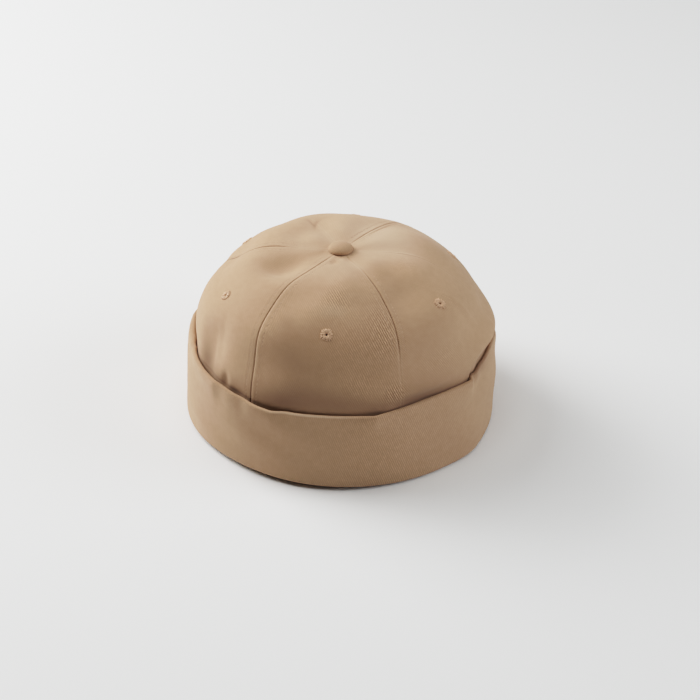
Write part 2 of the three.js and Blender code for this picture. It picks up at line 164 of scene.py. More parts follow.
def brushed_twill(name, lean, coordinates="UV"):
    """Khaki chino: slanting ribs, speckle, slow tone changes, rubbed and soiled places, painted light and
    shade.
    """
    material, tree, shader = start_material(name)
    place = add_node(tree, "ShaderNodeTexCoord").outputs[coordinates]
    turned = add_node(tree, "ShaderNodeMapping", {"Vector": place, "Rotation": (0, 0, math.radians(lean))})
    ribs = add_node(tree, "ShaderNodeTexWave", {
        "Vector": turned.outputs["Vector"],
        "Scale": WAVE_PERIOD / RIB_SPACING,
        "Distortion": RIB_WOBBLE,
        "Detail": 2.0,
        "Detail Scale": RIB_WOBBLE_SCALE,
    })
    drawn_out = add_node(tree, "ShaderNodeMapping",
                         {"Vector": turned.outputs["Vector"], "Scale": (1, DASH_STRETCH, 1)})
    dashes = add_node(tree, "ShaderNodeTexNoise",
                      {"Vector": drawn_out.outputs["Vector"], "Scale": 1 / RIB_SPACING, "Detail": 2.0})
    fibre = add_node(tree, "ShaderNodeTexNoise", {"Vector": place, "Scale": 1 / FIBRE_SIZE, "Detail": 3.0})
    loose = add_node(tree, "ShaderNodeMath", {0: fibre.outputs["Fac"], 1: FIBRE_SHARE},
                     operation="MULTIPLY")
    weave = add_node(tree, "ShaderNodeMath", {
        0: ribs.outputs["Fac"], 1: dashes.outputs["Fac"], 2: loose.outputs[0],
    }, operation="MULTIPLY_ADD")
    bare = add_node(tree, "ShaderNodeAttribute", attribute_name="bare")
    shows = add_node(tree, "ShaderNodeMath", {0: bare.outputs["Fac"], 1: RIB_THROUGH_NAP}, operation="ADD")
    slub = add_node(tree, "ShaderNodeTexNoise", {"Vector": place, "Scale": 1 / SLUB_SIZE, "Detail": 3.0})
    tone = add_node(tree, "ShaderNodeTexNoise", {"Vector": place, "Scale": 1 / TONE_SIZE, "Detail": 2.0})
    threads = add_node(tree, "ShaderNodeMix", {
        MIX_FACTOR: slub.outputs["Fac"],
        MIX_A: linear(KHAKI_DARK),
        MIX_B: linear(KHAKI_LIGHT),
    }, data_type="RGBA")
    rib_light = add_node(tree, "ShaderNodeMath", {0: weave.outputs[0], 1: WEAVE_MEAN},
                         operation="SUBTRACT")
    rib_shown = add_node(tree, "ShaderNodeMath", {0: rib_light.outputs[0], 1: shows.outputs[0]},
                         operation="MULTIPLY")
    rib_tone = add_node(tree, "ShaderNodeMath", {0: rib_shown.outputs[0], 1: RIB_CONTRAST, 2: 1.0},
                        operation="MULTIPLY_ADD")
    speckle = add_node(tree, "ShaderNodeMapRange", {
        "Value": fibre.outputs["Fac"], "From Min": NOISE_LOW, "From Max": NOISE_HIGH,
        "To Min": FIBRE_TONES[0], "To Max": FIBRE_TONES[1],
    })
    cloud = add_node(tree, "ShaderNodeMapRange", {
        "Value": tone.outputs["Fac"], "From Min": NOISE_LOW, "From Max": NOISE_HIGH,
        "To Min": CLOUD_TONES[0], "To Max": CLOUD_TONES[1],
    })
    light_dark = add_node(tree, "ShaderNodeMath",
                          {0: speckle.outputs["Result"], 1: cloud.outputs["Result"]}, operation="MULTIPLY")
    all_tones = add_node(tree, "ShaderNodeMath", {0: light_dark.outputs[0], 1: rib_tone.outputs[0]},
                         operation="MULTIPLY")
    cloth = add_node(tree, "ShaderNodeVectorMath",
                     {0: threads.outputs[MIX_RESULT], "Scale": all_tones.outputs[0]}, operation="SCALE")
    # Above 0 the attribute mixes in the paler khaki, for rubbed nap and painted light; below 0 the darker
    # khaki, for dirt and painted shade
    wear_and_painted_light = add_node(tree, "ShaderNodeAttribute", attribute_name="wear_and_painted_light")
    rubbed_and_lit = add_node(tree, "ShaderNodeMix", {
        MIX_FACTOR: wear_and_painted_light.outputs["Fac"],
        MIX_A: cloth.outputs[0],
        MIX_B: linear(KHAKI_RUBBED_AND_LIT),
    }, data_type="RGBA")
    darkening = add_node(tree, "ShaderNodeMath", {0: wear_and_painted_light.outputs["Fac"], 1: -1.0}, operation="MULTIPLY")
    worn_and_shaded = add_node(tree, "ShaderNodeMix", {
        MIX_FACTOR: darkening.outputs[0],
        MIX_A: rubbed_and_lit.outputs[MIX_RESULT],
        MIX_B: linear(KHAKI_SOILED_AND_SHADED),
    }, data_type="RGBA")
    surface = add_node(tree, "ShaderNodeMath", {
        0: rib_shown.outputs[0], 1: RIB_OVER_FIBRE, 2: fibre.outputs["Fac"],
    }, operation="MULTIPLY_ADD")
    bump = add_node(tree, "ShaderNodeBump",
                    {"Height": surface.outputs[0], "Strength": 0.6, "Distance": RIB_HEIGHT})
    roughness = add_node(tree, "ShaderNodeMapRange", {
        "Value": fibre.outputs["Fac"], "To Min": NAP_ROUGHNESS[0], "To Max": NAP_ROUGHNESS[1],
    })
    tree.links.new(worn_and_shaded.outputs[MIX_RESULT], shader.inputs["Base Color"])
    tree.links.new(bump.outputs["Normal"], shader.inputs["Normal"])
    tree.links.new(roughness.outputs["Result"], shader.inputs["Roughness"])
    shader.inputs["Specular IOR Level"].default_value = 0.2
    shader.inputs["Sheen Weight"].default_value = 0.22
    shader.inputs["Sheen Roughness"].default_value = 0.55
    shader.inputs["Sheen Tint"].default_value = linear(NAP_TINT)
    return material


crown_twill = brushed_twill("brushed cotton twill, crown", lean=-28)
cuff_twill = brushed_twill("brushed cotton twill, cuff", lean=-20)
button_twill = brushed_twill("brushed cotton twill, button", lean=-50, coordinates="Object")
print("twill ribs", round(RIB_SPACING / MM, 2), "mm apart")

# %% [markdown]
# ## Sewing and embroidery thread
# The eyelets are worked in a shade a little lighter than the cloth, with mercerised cotton: it is spun
# tight and finished smooth, so it has a soft gleam that the brushed twill lacks. The seams' topstitching
# is the same tone as the cloth and is seen mostly as a row of small dimples.

# %% The thread material
TWIST_SIZE, TWIST_DEEP = 0.4 * MM, 0.05 * MM


def mercerised_thread(name, light, dark):
    """Tonal cotton thread with twisted plies and a soft gleam."""
    material, tree, shader = start_material(name)
    place = add_node(tree, "ShaderNodeTexCoord").outputs["Object"]
    plies = add_node(tree, "ShaderNodeTexNoise", {"Vector": place, "Scale": 1 / TWIST_SIZE, "Detail": 2.0})
    colour = add_node(tree, "ShaderNodeMix", {
        MIX_FACTOR: plies.outputs["Fac"], MIX_A: linear(dark), MIX_B: linear(light),
    }, data_type="RGBA")
    bump = add_node(tree, "ShaderNodeBump",
                    {"Height": plies.outputs["Fac"], "Strength": 0.4, "Distance": TWIST_DEEP})
    tree.links.new(colour.outputs[MIX_RESULT], shader.inputs["Base Color"])
    tree.links.new(bump.outputs["Normal"], shader.inputs["Normal"])
    shader.inputs["Roughness"].default_value = 0.6
    shader.inputs["Specular IOR Level"].default_value = 0.3
    shader.inputs["Sheen Weight"].default_value = 0.06
    return material


eyelet_thread = mercerised_thread("mercerised cotton, eyelets", "#DCB696", "#B08A6D")
seam_thread = mercerised_thread("spun cotton, topstitching", "#BFA085", "#A18167")
print("thread materials:", eyelet_thread.name, "and", seam_thread.name)

# %% [markdown]
# ## The crown's form
# A cap like this is six gores cut flat and sewn into a dome. Worn-in cloth stands as a box with soft
# shoulders, so its section is a short list of points from the tip down to the sewn edge, and a smooth curve
# runs through them. Slumps, dents and puckers are rows of a second list, each pressed in as a soft bell.
# The form could be sculpted instead, but rows can be measured and changed. These are the solids' own sizes,
# in millimetres. A bearing is an angle round the cap, 0 at the front and growing to the right, and a share
# is the way down the section.

# %% Sizes of the crown
PANEL_COUNT = 6
PANEL_CLOTH = 1.4
SEAM_GAP = 0.02
PANEL_BULGE = 1.6
DITCH_DEEP, DITCH_WIDE = 0.1, 1.8
BACK_DROOP = 2.4

# Distance out and height of each section point
CROWN_SECTIONS = np.array([
    (4, 110.6), (12, 110.3), (26, 110.9), (40, 110.9), (51, 109.4), (60, 106.2),
    (68, 101.9), (75, 96.8), (80.5, 91), (84.5, 84), (87.6, 75), (90.8, 65),
    (92.9, 56), (93.3, 47), (92.2, 36), (91.4, 25), (91.5, 14),
])

# Bearing, share, reach round in degrees, reach along as a share, depth (swellings are minus)
CROWN_FOLDS = {
    "left back slump": (-105, 0.42, 30, 0.15, 6.6),
    "right back slump": (114, 0.45, 32, 0.16, 4.6),
    "left shoulder": (-62, 0.42, 20, 0.12, 2.2),
    "left side draws in": (-77, 0.77, 14, 0.08, 3),
    "dent left of the button": (-58, 0.18, 18, 0.08, 7),
    "dent behind the button": (174, 0.33, 15, 0.09, 3),
    "right swelling": (90, 0.71, 24, 0.065, -5.4),
    "right front sags": (46, 0.3, 26, 0.11, 5),
    "right front seam stands out": (30, 0.62, 13, 0.18, -1.6),
    "left front seam stands out": (-31, 0.5, 13, 0.26, -1.2),
    "front sets back": (0, 0.61, 42, 0.11, 1.6),
    "long pucker": (-51.5, 0.66, 6, 0.13, 3),
    "short pucker": (-41.2, 0.745, 1.8, 0.035, 1.3),
    "low pucker": (-35, 0.79, 5, 0.035, 1.2),
    "back pucker": (172, 0.72, 4, 0.1, 1.8),
}

# A seam's bearing, share, reach round in degrees, reach along as a share, and the degrees that it strays to
# the right there
SEAM_DRIFTS = ((-90, 0.55, 20, 0.27, -18), (-30, 0.75, 28, 0.2, 1.9), (30, 0.22, 28, 0.26, 4.4))

# Smaller creases that only the cloth itself has: the same columns, a lean in degrees of bearing over the
# whole section, and how much painted shade lies in the crease (minus is a painted highlight on a ridge)
CLOTH_CREASES = {
    "crease left of the button": (-67, 0.155, 13, 0.07, 0.9, 0, 0),
    "hollow behind that crease": (-105, 0.125, 20, 0.035, 0.9, 0, 0),
    "gather in front of the button": (-7, 0.085, 9, 0.018, 0.8, 0, 0.25),
    "gather close to the button": (4, 0.052, 17, 0.018, 0.4, 0, 0),
    "gather right of the front": (26, 0.078, 9, 0.022, 0.4, 0, 0),
    "start of the right front seam": (33, 0.06, 3.5, 0.016, 0.3, 0, 0.3),
    "gather left of the button": (-78, 0.05, 13, 0.016, 0.3, 0, 0),
    "gather right of the button": (100, 0.07, 12, 0.03, 0.3, 0, 0),
    "crest on the right front": (50, 0.132, 22, 0.025, -0.6, 0, 0),
    "hollow below that crest": (48, 0.19, 20, 0.03, 0.6, 0, 0.1),
    "pale ridge of the right seam": (90.8, 0.185, 1.3, 0.05, -0.3, 0, -0.12),
    "stitch line of the back seam": (145.5, 0.175, 1.2, 0.07, 0.4, 20, 0.5),
    "crossed crease at the back": (-147.5, 0.2, 1.8, 0.035, 0.3, 0, 0.4),
    "crease across it": (-150, 0.186, 2, 0.028, 0.3, -198, 0.4),
    "left seam on the shoulder": (-105.7, 0.45, 1.1, 0.09, 0.25, -43, 0.55),
    "soft patch at the back": (-125, 0.155, 16, 0.04, 2, 0, 0),
    "upright ridge at the left": (-50, 0.65, 2.2, 0.11, -0.6, 25, 0),
    "upright hollow beside it": (-57.5, 0.67, 3.5, 0.1, 0.9, 25, 0.12),
    "ridge on the right shoulder": (72.6, 0.523, 1.8, 0.075, -0.55, 30, 0),
    "hollow beside that ridge": (69.5, 0.53, 2.6, 0.07, 0.4, 30, 0),
}

print("crown:", PANEL_COUNT, "panels,", len(CROWN_FOLDS), "folds and", len(CLOTH_CREASES), "creases")

# %% Curves and bells for arrays of points


def bell(offset, reach):
    """A soft bump, 1 at its middle."""
    return np.exp(-(offset / reach) ** 2)


def ease(start, end, value):
    """A smooth step from 0 to 1."""
    share = np.clip((value - start) / (end - start), 0, 1)
    return share * share * (3 - 2 * share)


def blend(start, end, share):
    """A value between two others."""
    return start + (end - start) * share


def turn_between(start, end):
    """Degrees from one bearing to another, between -180 and 180."""
    return (end - start + 180) % 360 - 180


def patches(rows, bearing, share):
    """The sum of soft bells on the crown: bearing, share, reach round, reach along and strength of each."""
    return sum(
        strength * bell(turn_between(middle, bearing), wide) * bell(share - level, long)
        for middle, level, wide, long, strength in rows
    )


def place_at(bearing, out, up):
    """Points from a bearing, a distance from the axis and a height."""
    turn = np.radians(bearing)
    return np.stack(np.broadcast_arrays(out * np.sin(turn), -out * np.cos(turn), up), axis=-1)


def curve_through(rows, share):
    """A smooth curve through rows of points, evenly shared out between them."""
    last = len(rows) - 1
    place = np.clip(share, 0, 1) * last
    index = np.minimum(place.astype(int), last - 1)
    past = (place - index)[..., None]
    here, there = rows[index], rows[index + 1]
    leave = (there - rows[np.maximum(index - 1, 0)]) / 2
    arrive = (rows[np.minimum(index + 2, last)] - here) / 2
    cubic = 2 * here - 2 * there + leave + arrive
    square = 3 * there - 3 * here - 2 * leave - arrive
    return ((cubic * past + square) * past + leave) * past + here


def section_out(share):
    """How far out the crown's section lies at a share of its length."""
    return curve_through(CROWN_SECTIONS, share)[..., 0]


def section_at(share):
    """The crown's section and its direction at a share of its length."""
    step = 1e-4
    along = curve_through(CROWN_SECTIONS, share + step) - curve_through(CROWN_SECTIONS, share - step)
    return curve_through(CROWN_SECTIONS, share), along / np.linalg.norm(along, axis=-1, keepdims=True)


SECTION_STEPS = 400
section_walk = curve_through(CROWN_SECTIONS, np.linspace(0, 1, SECTION_STEPS))
SECTION_LENGTH = float(np.linalg.norm(np.diff(section_walk, axis=0), axis=1).sum())
print("from the tip to the sewn edge:", round(SECTION_LENGTH, 1), "mm of cloth")

# %% [markdown]
# ## The cuff's outer face
# The cuff is a band sewn to the crown's lower edge and turned up round the outside. Its rim isn't a circle:
# hands have bent it into soft corners, and the runs between them are straight or round. In front the
# bottom fold doesn't quite touch the table. The crown leans on the cuff from inside, so the outer face comes
# first: it says how much room the crown has.

# %% Sizes of the cuff
CUFF_CLOTH = 1.2
CUFF_BASE_OUT, CUFF_SEWN_OUT, CUFF_SEWN_UP = 98.3, 90.8, 13.7
BOTTOM_FOLD, HEM_END_UP = 2.2, 34
RIM_FOLD, RIM_FOLD_MORE, RIM_FOLD_BEARING, RIM_FOLD_TURN = 0.8, 1.1, -83, 11
BASE_LIFT, LIFT_BEARING, LIFT_REACH = 2.2, -22, 75
CORNER_SOFT, CORNER_DEEP, LEG_SOFT, CORNER_SAMPLES = 0.5, 16, 14, 9
RIM_ROLL, RIM_ROLL_DEEP = 0.6, 7

# Bearing, distance out and height of the rim's corners, and how round the run after each one is
RIM_CORNERS = np.array([
    (-120, 97, 54, 0.55), (-97, 97.4, 51.8, 0.75), (-61.5, 96.2, 55.2, 0.15), (-45, 98.4, 54.3, 0.9),
    (-18.5, 98.6, 50.4, 0.4), (19, 99.6, 52, 0.25), (62, 99.3, 51.8, 0.1), (70, 95.8, 54.4, 0.6),
    (96, 97.8, 53, 0.5), (128, 98, 52, 0.55), (158, 97, 53, 0.55), (190, 98, 53, 0.55), (222, 97, 54, 0.55),
])

# Bearing, reach in degrees and swelling of the bottom fold
BASE_SWELLS = ((-36, 24, -1.8), (60, 9, 1.8), (95, 20, -1.6))

# Bearing, height, reach round in degrees, reach up, depth of dents in the outer leg
CUFF_DENTS = (
    (-42, 46, 3.2, 7, 0.9), (-31, 48, 2.6, 6, 0.7), (-13.5, 49.5, 3, 4, 1.0), (-24, 50, 4, 5, -0.4),
    (63.8, 52, 1.5, 6, 2.2), (66, 44, 6, 12, 0.6), (40, 47, 5, 7, 0.5), (-75, 44, 5, 9, 0.6),
    (-54, 54, 9, 8, -1.4), (-78, 54, 1.6, 3, 0.7), (-70, 54, 1.6, 3, 0.7), (92, 28, 20, 15, -1),
    (110, 46, 6, 8, 0.8), (150, 45, 7, 9, 0.7), (-150, 46, 6, 9, 0.8), (-110, 47, 5, 8, 0.6),
)

# Slow waves that crown and cuff share: how many go round the cap, how many go along the cloth, their phase
WAVE_SEED, WAVE_COUNT = 11, 14
WAVE_ROUNDS, WAVE_UPS = (3, 13), (0.5, 4.5)
LEG_WAVE_HEIGHT, LEG_WAVE_TALL, LEG_MORE_ROUNDS = 0.09, 90, 2
LEG_WAVE_GROWS = (2, 20)
waves = np.random.default_rng(WAVE_SEED)
cloth_waves = np.column_stack([
    waves.integers(*WAVE_ROUNDS, WAVE_COUNT),
    waves.uniform(*WAVE_UPS, WAVE_COUNT),
    waves.uniform(0, 2 * math.pi, WAVE_COUNT),
])
print("cuff: rim corners", len(RIM_CORNERS), "and dents", len(CUFF_DENTS))

# %% The outer face at any bearing and height


def rim_at(bearing, soft=CORNER_SOFT):
    """The rim's distance out and height, with straight or round runs between softened corners."""
    outs, ups = [], []
    for shift in np.linspace(-soft, soft, CORNER_SAMPLES):
        ahead = (np.asarray(bearing)[..., None] + shift - RIM_CORNERS[:, 0]) % 360
        index = ahead.argmin(axis=-1)
        past = ahead.min(axis=-1)
        start_turn, start_out, start_up, roundness = np.moveaxis(RIM_CORNERS[index], -1, 0)
        end_turn, end_out, end_up, _ = np.moveaxis(RIM_CORNERS[(index + 1) % len(RIM_CORNERS)], -1, 0)
        span = (end_turn - start_turn) % 360
        first, second = np.radians(past), np.radians(span - past)
        chord = start_out * end_out * np.sin(first + second)
        chord = chord / (start_out * np.sin(first) + end_out * np.sin(second))
        rounded = start_out + (end_out - start_out) * past / span
        outs.append(chord + (rounded - chord) * roundness)
        ups.append(start_up + (end_up - start_up) * past / span)
    return np.mean(outs, axis=0), np.mean(ups, axis=0)


def rim_fold(bearing):
    """Radius of the rolled rim, which is looser at the left."""
    return RIM_FOLD + RIM_FOLD_MORE * bell(turn_between(RIM_FOLD_BEARING, bearing), RIM_FOLD_TURN)


def leg_face(bearing, up):
    """Distance out of the cuff's outer face, with its dents and slow waves."""
    rim_out, rim_up = rim_at(bearing)
    base = CUFF_BASE_OUT + sum(
        swell * bell(turn_between(middle, bearing), wide) for middle, wide, swell in BASE_SWELLS)
    leg_out = rim_at(bearing, LEG_SOFT)[0]
    face = blend(base, leg_out, ease(0, rim_up, up))
    face = face + (rim_out - leg_out) * ease(rim_up - CORNER_DEEP, rim_up, up)
    face = face - RIM_ROLL * ease(rim_up - RIM_ROLL_DEEP, rim_up, up) ** 2
    for middle, level, wide, tall, deep in CUFF_DENTS:
        face = face - deep * bell(turn_between(middle, bearing), wide) * bell(up - level, tall)
    for rounds, ups, phase in cloth_waves:
        turn = (rounds + LEG_MORE_ROUNDS) * np.radians(bearing)
        ripple = np.sin(turn + 2 * math.pi * ups * up / LEG_WAVE_TALL + phase)
        face = face + LEG_WAVE_HEIGHT * ripple * ease(*LEG_WAVE_GROWS, up)
    return face


print("front of the cuff half way up, mm:", round(float(leg_face(0.0, 26.0)), 1))

# %% [markdown]
# ## What sewing does to the cloth
# At a seam both edges roll down into the join, and the seam allowance under them lifts a flat strip about
# five millimetres wide. A row of stitches pulls a groove along each side and puckers it slightly. The front
# panel lies on top of its neighbours, so its edges stand proud. A few long waves keep the cloth from
# looking cast. All of it is height along the surface, so one function gives it for any point.

# %% How each seam runs and shows
# From the right front seam on: how clearly the seam shows (1 is a plain sewn seam), and the shares where it
# comes clear of the gathers and where it fades again (2 is never)
SEAMS = np.array([
    (1.0, 0.145, 0.56), (0.15, 0.12, 2), (0.8, 0.06, 2),
    (0.15, 0.3, 2), (1.45, 0.155, 2), (0.78, 0.04, 2),
])
SEAM_CLEARS, SEAM_FADES = (-0.03, 0.06), (-0.06, 0.04)
SEAM_FAINT = 0.1


def from_seam(bearing):
    """Degrees from the nearest seam."""
    panel = 360 / PANEL_COUNT
    past = np.abs(turn_between(panel / 2, bearing)) % panel
    return np.minimum(past, panel - past)


def seam_strength(bearing, share):
    """How clearly the nearest seam shows: 0 is not at all, 1 is a plain sewn seam."""
    number = np.rint(bearing * PANEL_COUNT / 360 - 0.5).astype(int) % PANEL_COUNT
    clear, begins, fades = np.moveaxis(SEAMS[number], -1, 0)
    faded = (1 - SEAM_FAINT) * ease(*SEAM_FADES, share - fades)
    return clear * ease(*SEAM_CLEARS, share - begins) * (1 - faded)


def seam_drift(bearing, share):
    """Degrees by which the cloth strays to the right, along with the nearest seam."""
    return patches(SEAM_DRIFTS, bearing, share)


seam_bearings = (np.arange(PANEL_COUNT) + 0.5) * 360 / PANEL_COUNT
print("seams at half the way down:", np.round(seam_strength(seam_bearings, 0.5), 2))

# %% Height of the cloth above the plain crown
ALLOWANCE_WIDE, ALLOWANCE_RISE, ALLOWANCE_EDGE = 5.4, 0.1, (-0.7, 0.9)
EDGE_ROLL_WIDE, EDGE_ROLL_DEEP = 0.45, 0.55
STITCH_LINE, STITCH_GROOVE, STITCH_GROOVE_WIDE = 3.8, 0.12, 0.75
PUCKER_PITCH, PUCKER_DEEP, PUCKER_WIDE = 6.5, 0.06, 2.6
PUCKER_SWAY, PUCKER_SWAY_RATE = 2.2, 31
FRONT_PROUD, FRONT_PROUD_WIDE = 0.08, 3.2
WAVE_HEIGHT = 0.11

# Distances out between which the seams and the slow waves grow to their full height
SEAM_GROWS_OUT, WAVE_GROWS_OUT = (3, 9), (8, 40)

# Columns of the table of creases
DEPTH_COLUMN, SHADE_COLUMN = 4, 6


def creases(around, share, column):
    """The sum of the small creases, each a leaning bell as strong as one of its columns says."""
    total = 0
    for row in CLOTH_CREASES.values():
        middle, level, wide, long, _, lean, _ = row
        across = turn_between(middle + lean * (share - level), around)
        total = total + row[column] * bell(across, wide) * bell(share - level, long)
    return total


def cloth_relief(bearing, around, share, out):
    """Seams, stitch grooves, creases and slow waves, in millimetres of height."""
    edge = out * np.radians(from_seam(bearing))
    sewn = seam_strength(bearing, share)
    relief = ALLOWANCE_RISE * (1 - ease(*ALLOWANCE_EDGE, edge - ALLOWANCE_WIDE))
    relief = relief - EDGE_ROLL_DEEP * bell(edge, EDGE_ROLL_WIDE)
    relief = relief - STITCH_GROOVE * bell(edge - STITCH_LINE, STITCH_GROOVE_WIDE)
    sway = PUCKER_SWAY * np.sin(share * PUCKER_SWAY_RATE)
    pucker = np.sin(2 * math.pi * share * SECTION_LENGTH / PUCKER_PITCH + sway)
    relief = relief + PUCKER_DEEP * pucker * bell(edge - STITCH_LINE, PUCKER_WIDE)
    on_front = np.abs(turn_between(0, bearing)) < 180 / PANEL_COUNT
    relief = relief + FRONT_PROUD * on_front * bell(edge, FRONT_PROUD_WIDE)
    relief = relief * sewn * ease(*SEAM_GROWS_OUT, out)
    relief = relief - creases(around, share, DEPTH_COLUMN)
    for rounds, ups, phase in cloth_waves:
        ripple = np.sin(rounds * np.radians(around) + 2 * math.pi * ups * share + phase)
        relief = relief + WAVE_HEIGHT * ripple * ease(*WAVE_GROWS_OUT, out)
    return relief


seam_heights = cloth_relief(seam_bearings, seam_bearings, 0.5, section_out(0.5))
print("height of the cloth at the seams, mm:", np.round(seam_heights, 2))

# %% Points of the crown's cloth
HEM_GAP, HOLD_SOFT, HOLD_ENDS = 0.12, 0.3, (2, 10)

# Distances out, or heights, between which each form grows to its full size
BULGE_GROWS_OUT, BULGE_GROWS_UP = (6, 25), (50, 72)
DITCH_GROWS_OUT, SEWN_GROWS_UP = (6, 16), (14, 40)
DROOP_GROWS_OUT, DROOP_GROWS_UP = (8, 60), (45, 95)

# Steps in degrees and in share over which a normal is measured
NORMAL_TURN, NORMAL_SHARE = 0.2, 0.002


def held_in(bearing, out, up):
    """How far the cuff's hem holds the crown in, in millimetres."""
    rim_up = rim_at(bearing)[1]
    room = leg_face(bearing, up) - 2 * rim_fold(bearing) - CUFF_CLOTH - HEM_GAP
    excess = HOLD_SOFT * np.logaddexp(0, (out - room) / HOLD_SOFT)
    return excess * (1 - ease(*HOLD_ENDS, up - rim_up))


def crown_points(bearing, share, lift=0.0):
    """Points of the crown's cloth, lifted along the section's normal, in millimetres."""
    bearing, share = np.broadcast_arrays(np.asarray(bearing, float), np.asarray(share, float))
    section, along = section_at(share)
    out, up = section[..., 0], section[..., 1]
    around = bearing + seam_drift(bearing, share)
    seam_angle = from_seam(bearing)
    bulge = PANEL_BULGE * np.sin(np.radians(seam_angle * PANEL_COUNT / 2)) ** 2
    bulge = bulge * ease(*BULGE_GROWS_OUT, out) * ease(*BULGE_GROWS_UP, up)
    ditch = DITCH_DEEP * bell(out * np.radians(seam_angle), DITCH_WIDE) * ease(*DITCH_GROWS_OUT, out)
    ditch = ditch * seam_strength(bearing, share)
    folds = patches(CROWN_FOLDS.values(), around, share)
    height = bulge - ditch - folds + cloth_relief(bearing, around, share, out)
    height = height * ease(*SEWN_GROWS_UP, up)
    to_back = (1 - np.cos(np.radians(around))) / 2
    droop = BACK_DROOP * to_back * ease(*DROOP_GROWS_OUT, out) * ease(*DROOP_GROWS_UP, up)
    face_out = out - along[..., 1] * height
    face_up = up + along[..., 0] * height - droop
    face_out = face_out - held_in(around, face_out, face_up)
    return place_at(around, face_out - along[..., 1] * lift, face_up + along[..., 0] * lift)


def crown_normal(bearing, share):
    """Unit normals of the crown's cloth, pointing out."""
    across = crown_points(bearing + NORMAL_TURN, share) - crown_points(bearing - NORMAL_TURN, share)
    down = crown_points(bearing, share + NORMAL_SHARE) - crown_points(bearing, share - NORMAL_SHARE)
    normal = np.cross(down, across)
    return normal / np.linalg.norm(normal, axis=-1, keepdims=True)


print("front of the crown at mid height, mm:", np.round(crown_points(0.0, 0.6), 1))

# %% [markdown]
# ## Six twill panels
# Each panel is a thin closed wall: a grid of points on the face, the same grid one cloth thickness in, and
# strips that close the edges. A cloth simulation could sew flat gores together, but its folds fall where
# they like, so here every point comes from the form above. Columns crowd towards the seams, where the cloth
# bends most. Round the eyelet the grid is drawn into a circle, and the cells inside it are left out, so
# there is a real hole.

# %% Helpers that turn grids of points into meshes
SHARP_ANGLE = math.radians(50)


def quads_between(index):
    """Quads between the neighbours of a grid of point numbers."""
    corners = [index[:-1, :-1], index[1:, :-1], index[1:, 1:], index[:-1, 1:]]
    return np.stack(corners, axis=-1).reshape(-1, 4)


def border_quads(face, back):
    """Quads that join the borders of two grids of point numbers, the face one seen from outside."""
    def loop(grid):
        return np.concatenate([grid[0, :-1], grid[:-1, -1], grid[-1, :0:-1], grid[:0:-1, 0]])
    here, there = loop(face), loop(back)
    return np.stack([here, np.roll(here, -1), np.roll(there, -1), there], axis=-1)


def make_piece(name, points, quads, uv, wear_and_painted_light, bare, material, uv_quads=None):
    """A mesh object from points in millimetres, with its UV map in metres, its rubbing, dirt and painted
    light and shade, and how bare it is.
    """
    used, numbers = np.unique(quads, return_inverse=True)
    mesh = bpy.data.meshes.new(name)
    mesh.from_pydata(points[used] * MM, [], numbers.reshape(-1, 4).tolist())
    corners = quads if uv_quads is None else uv_quads
    mesh.uv_layers.new(name="cloth").uv.foreach_set("vector", (uv[corners.ravel()] * MM).ravel())
    mesh.attributes.new("wear_and_painted_light", "FLOAT", "POINT").data.foreach_set("value", wear_and_painted_light[used])
    mesh.attributes.new("bare", "FLOAT", "POINT").data.foreach_set("value", bare[used])
    mesh.shade_smooth()
    mesh.set_sharp_from_angle(angle=SHARP_ANGLE)
    mesh.materials.append(material)
    return add_to_scene(name, mesh)


def finish_piece(piece, slot, *nodes):
    """Attach a finished piece to the frame's root and hide the solids that it takes the place of."""
    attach(piece, "root")
    if nodes:
        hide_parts(*nodes)
    return piece


print("grid helpers ready")

# %% The grid of a panel
PANEL_COLUMNS, PANEL_ROWS = 120, 176
TINY = 1e-6

# The eyelets: the row of each panel's grid, from the front panel on to the right, the hole's radius, and
# how many cells from its middle the hole's edge lies and the grid is even again
EYELET_ROWS = (79, 74, 83, 83, 83, 78)
EYELET_HOLE = 1.0
HOLE_CELLS, DRAWN_CELLS = 2, 8


def panel_middle(index):
    """Bearing of a panel's middle."""
    return turn_between(0, index * 360 / PANEL_COUNT)


def panel_places(middle, eyelet_row):
    """Bearings and shares of a panel's grid, drawn into a circle round its eyelet."""
    eyelet_share = eyelet_row / PANEL_ROWS
    share = np.linspace(0, 1, PANEL_ROWS + 1)[:, None]
    half = 180 / PANEL_COUNT - np.degrees(np.arcsin(SEAM_GAP / 2 / section_out(share)))
    turn = half * np.sin(np.linspace(-0.5, 0.5, PANEL_COLUMNS + 1) * math.pi)
    share = np.broadcast_to(share, turn.shape)
    eyelet_out = section_out(eyelet_share)
    sideways = np.radians(turn) * eyelet_out
    downwards = (share - eyelet_share) * SECTION_LENGTH
    rows, columns = np.indices(turn.shape)
    cells = np.maximum(np.abs(rows - eyelet_row), np.abs(columns - PANEL_COLUMNS // 2))
    away = np.maximum(np.hypot(sideways, downwards), TINY)
    drawn = EYELET_HOLE * np.maximum(cells, HOLE_CELLS) / HOLE_CELLS / away
    stretch = drawn + (1 - drawn) * ease(HOLE_CELLS, DRAWN_CELLS, cells)
    new_turn = np.degrees(sideways * stretch / eyelet_out)
    return middle + new_turn, eyelet_share + downwards * stretch / SECTION_LENGTH


print("shares of the eyelets:", [round(row / PANEL_ROWS, 2) for row in EYELET_ROWS])

# %% [markdown]
# ## Worn places, painted light and painted shade
# Cloth wears unevenly. Where it is handled, the nap is rubbed pale or goes altogether and lets the
# weave show. Dirt gathers in the seams. Painted shade darkens the cloth along the cuff and in the creases,
# some patches get painted light and others painted shade. A painted picture could hold this, but numbers
# on the mesh need no image and follow the cloth. Each point of a panel has two values that the material
# reads: one that is paler above 0, from rubbing and painted light, and darker below, from dirt and painted
# shade, and how bare its weave lies.

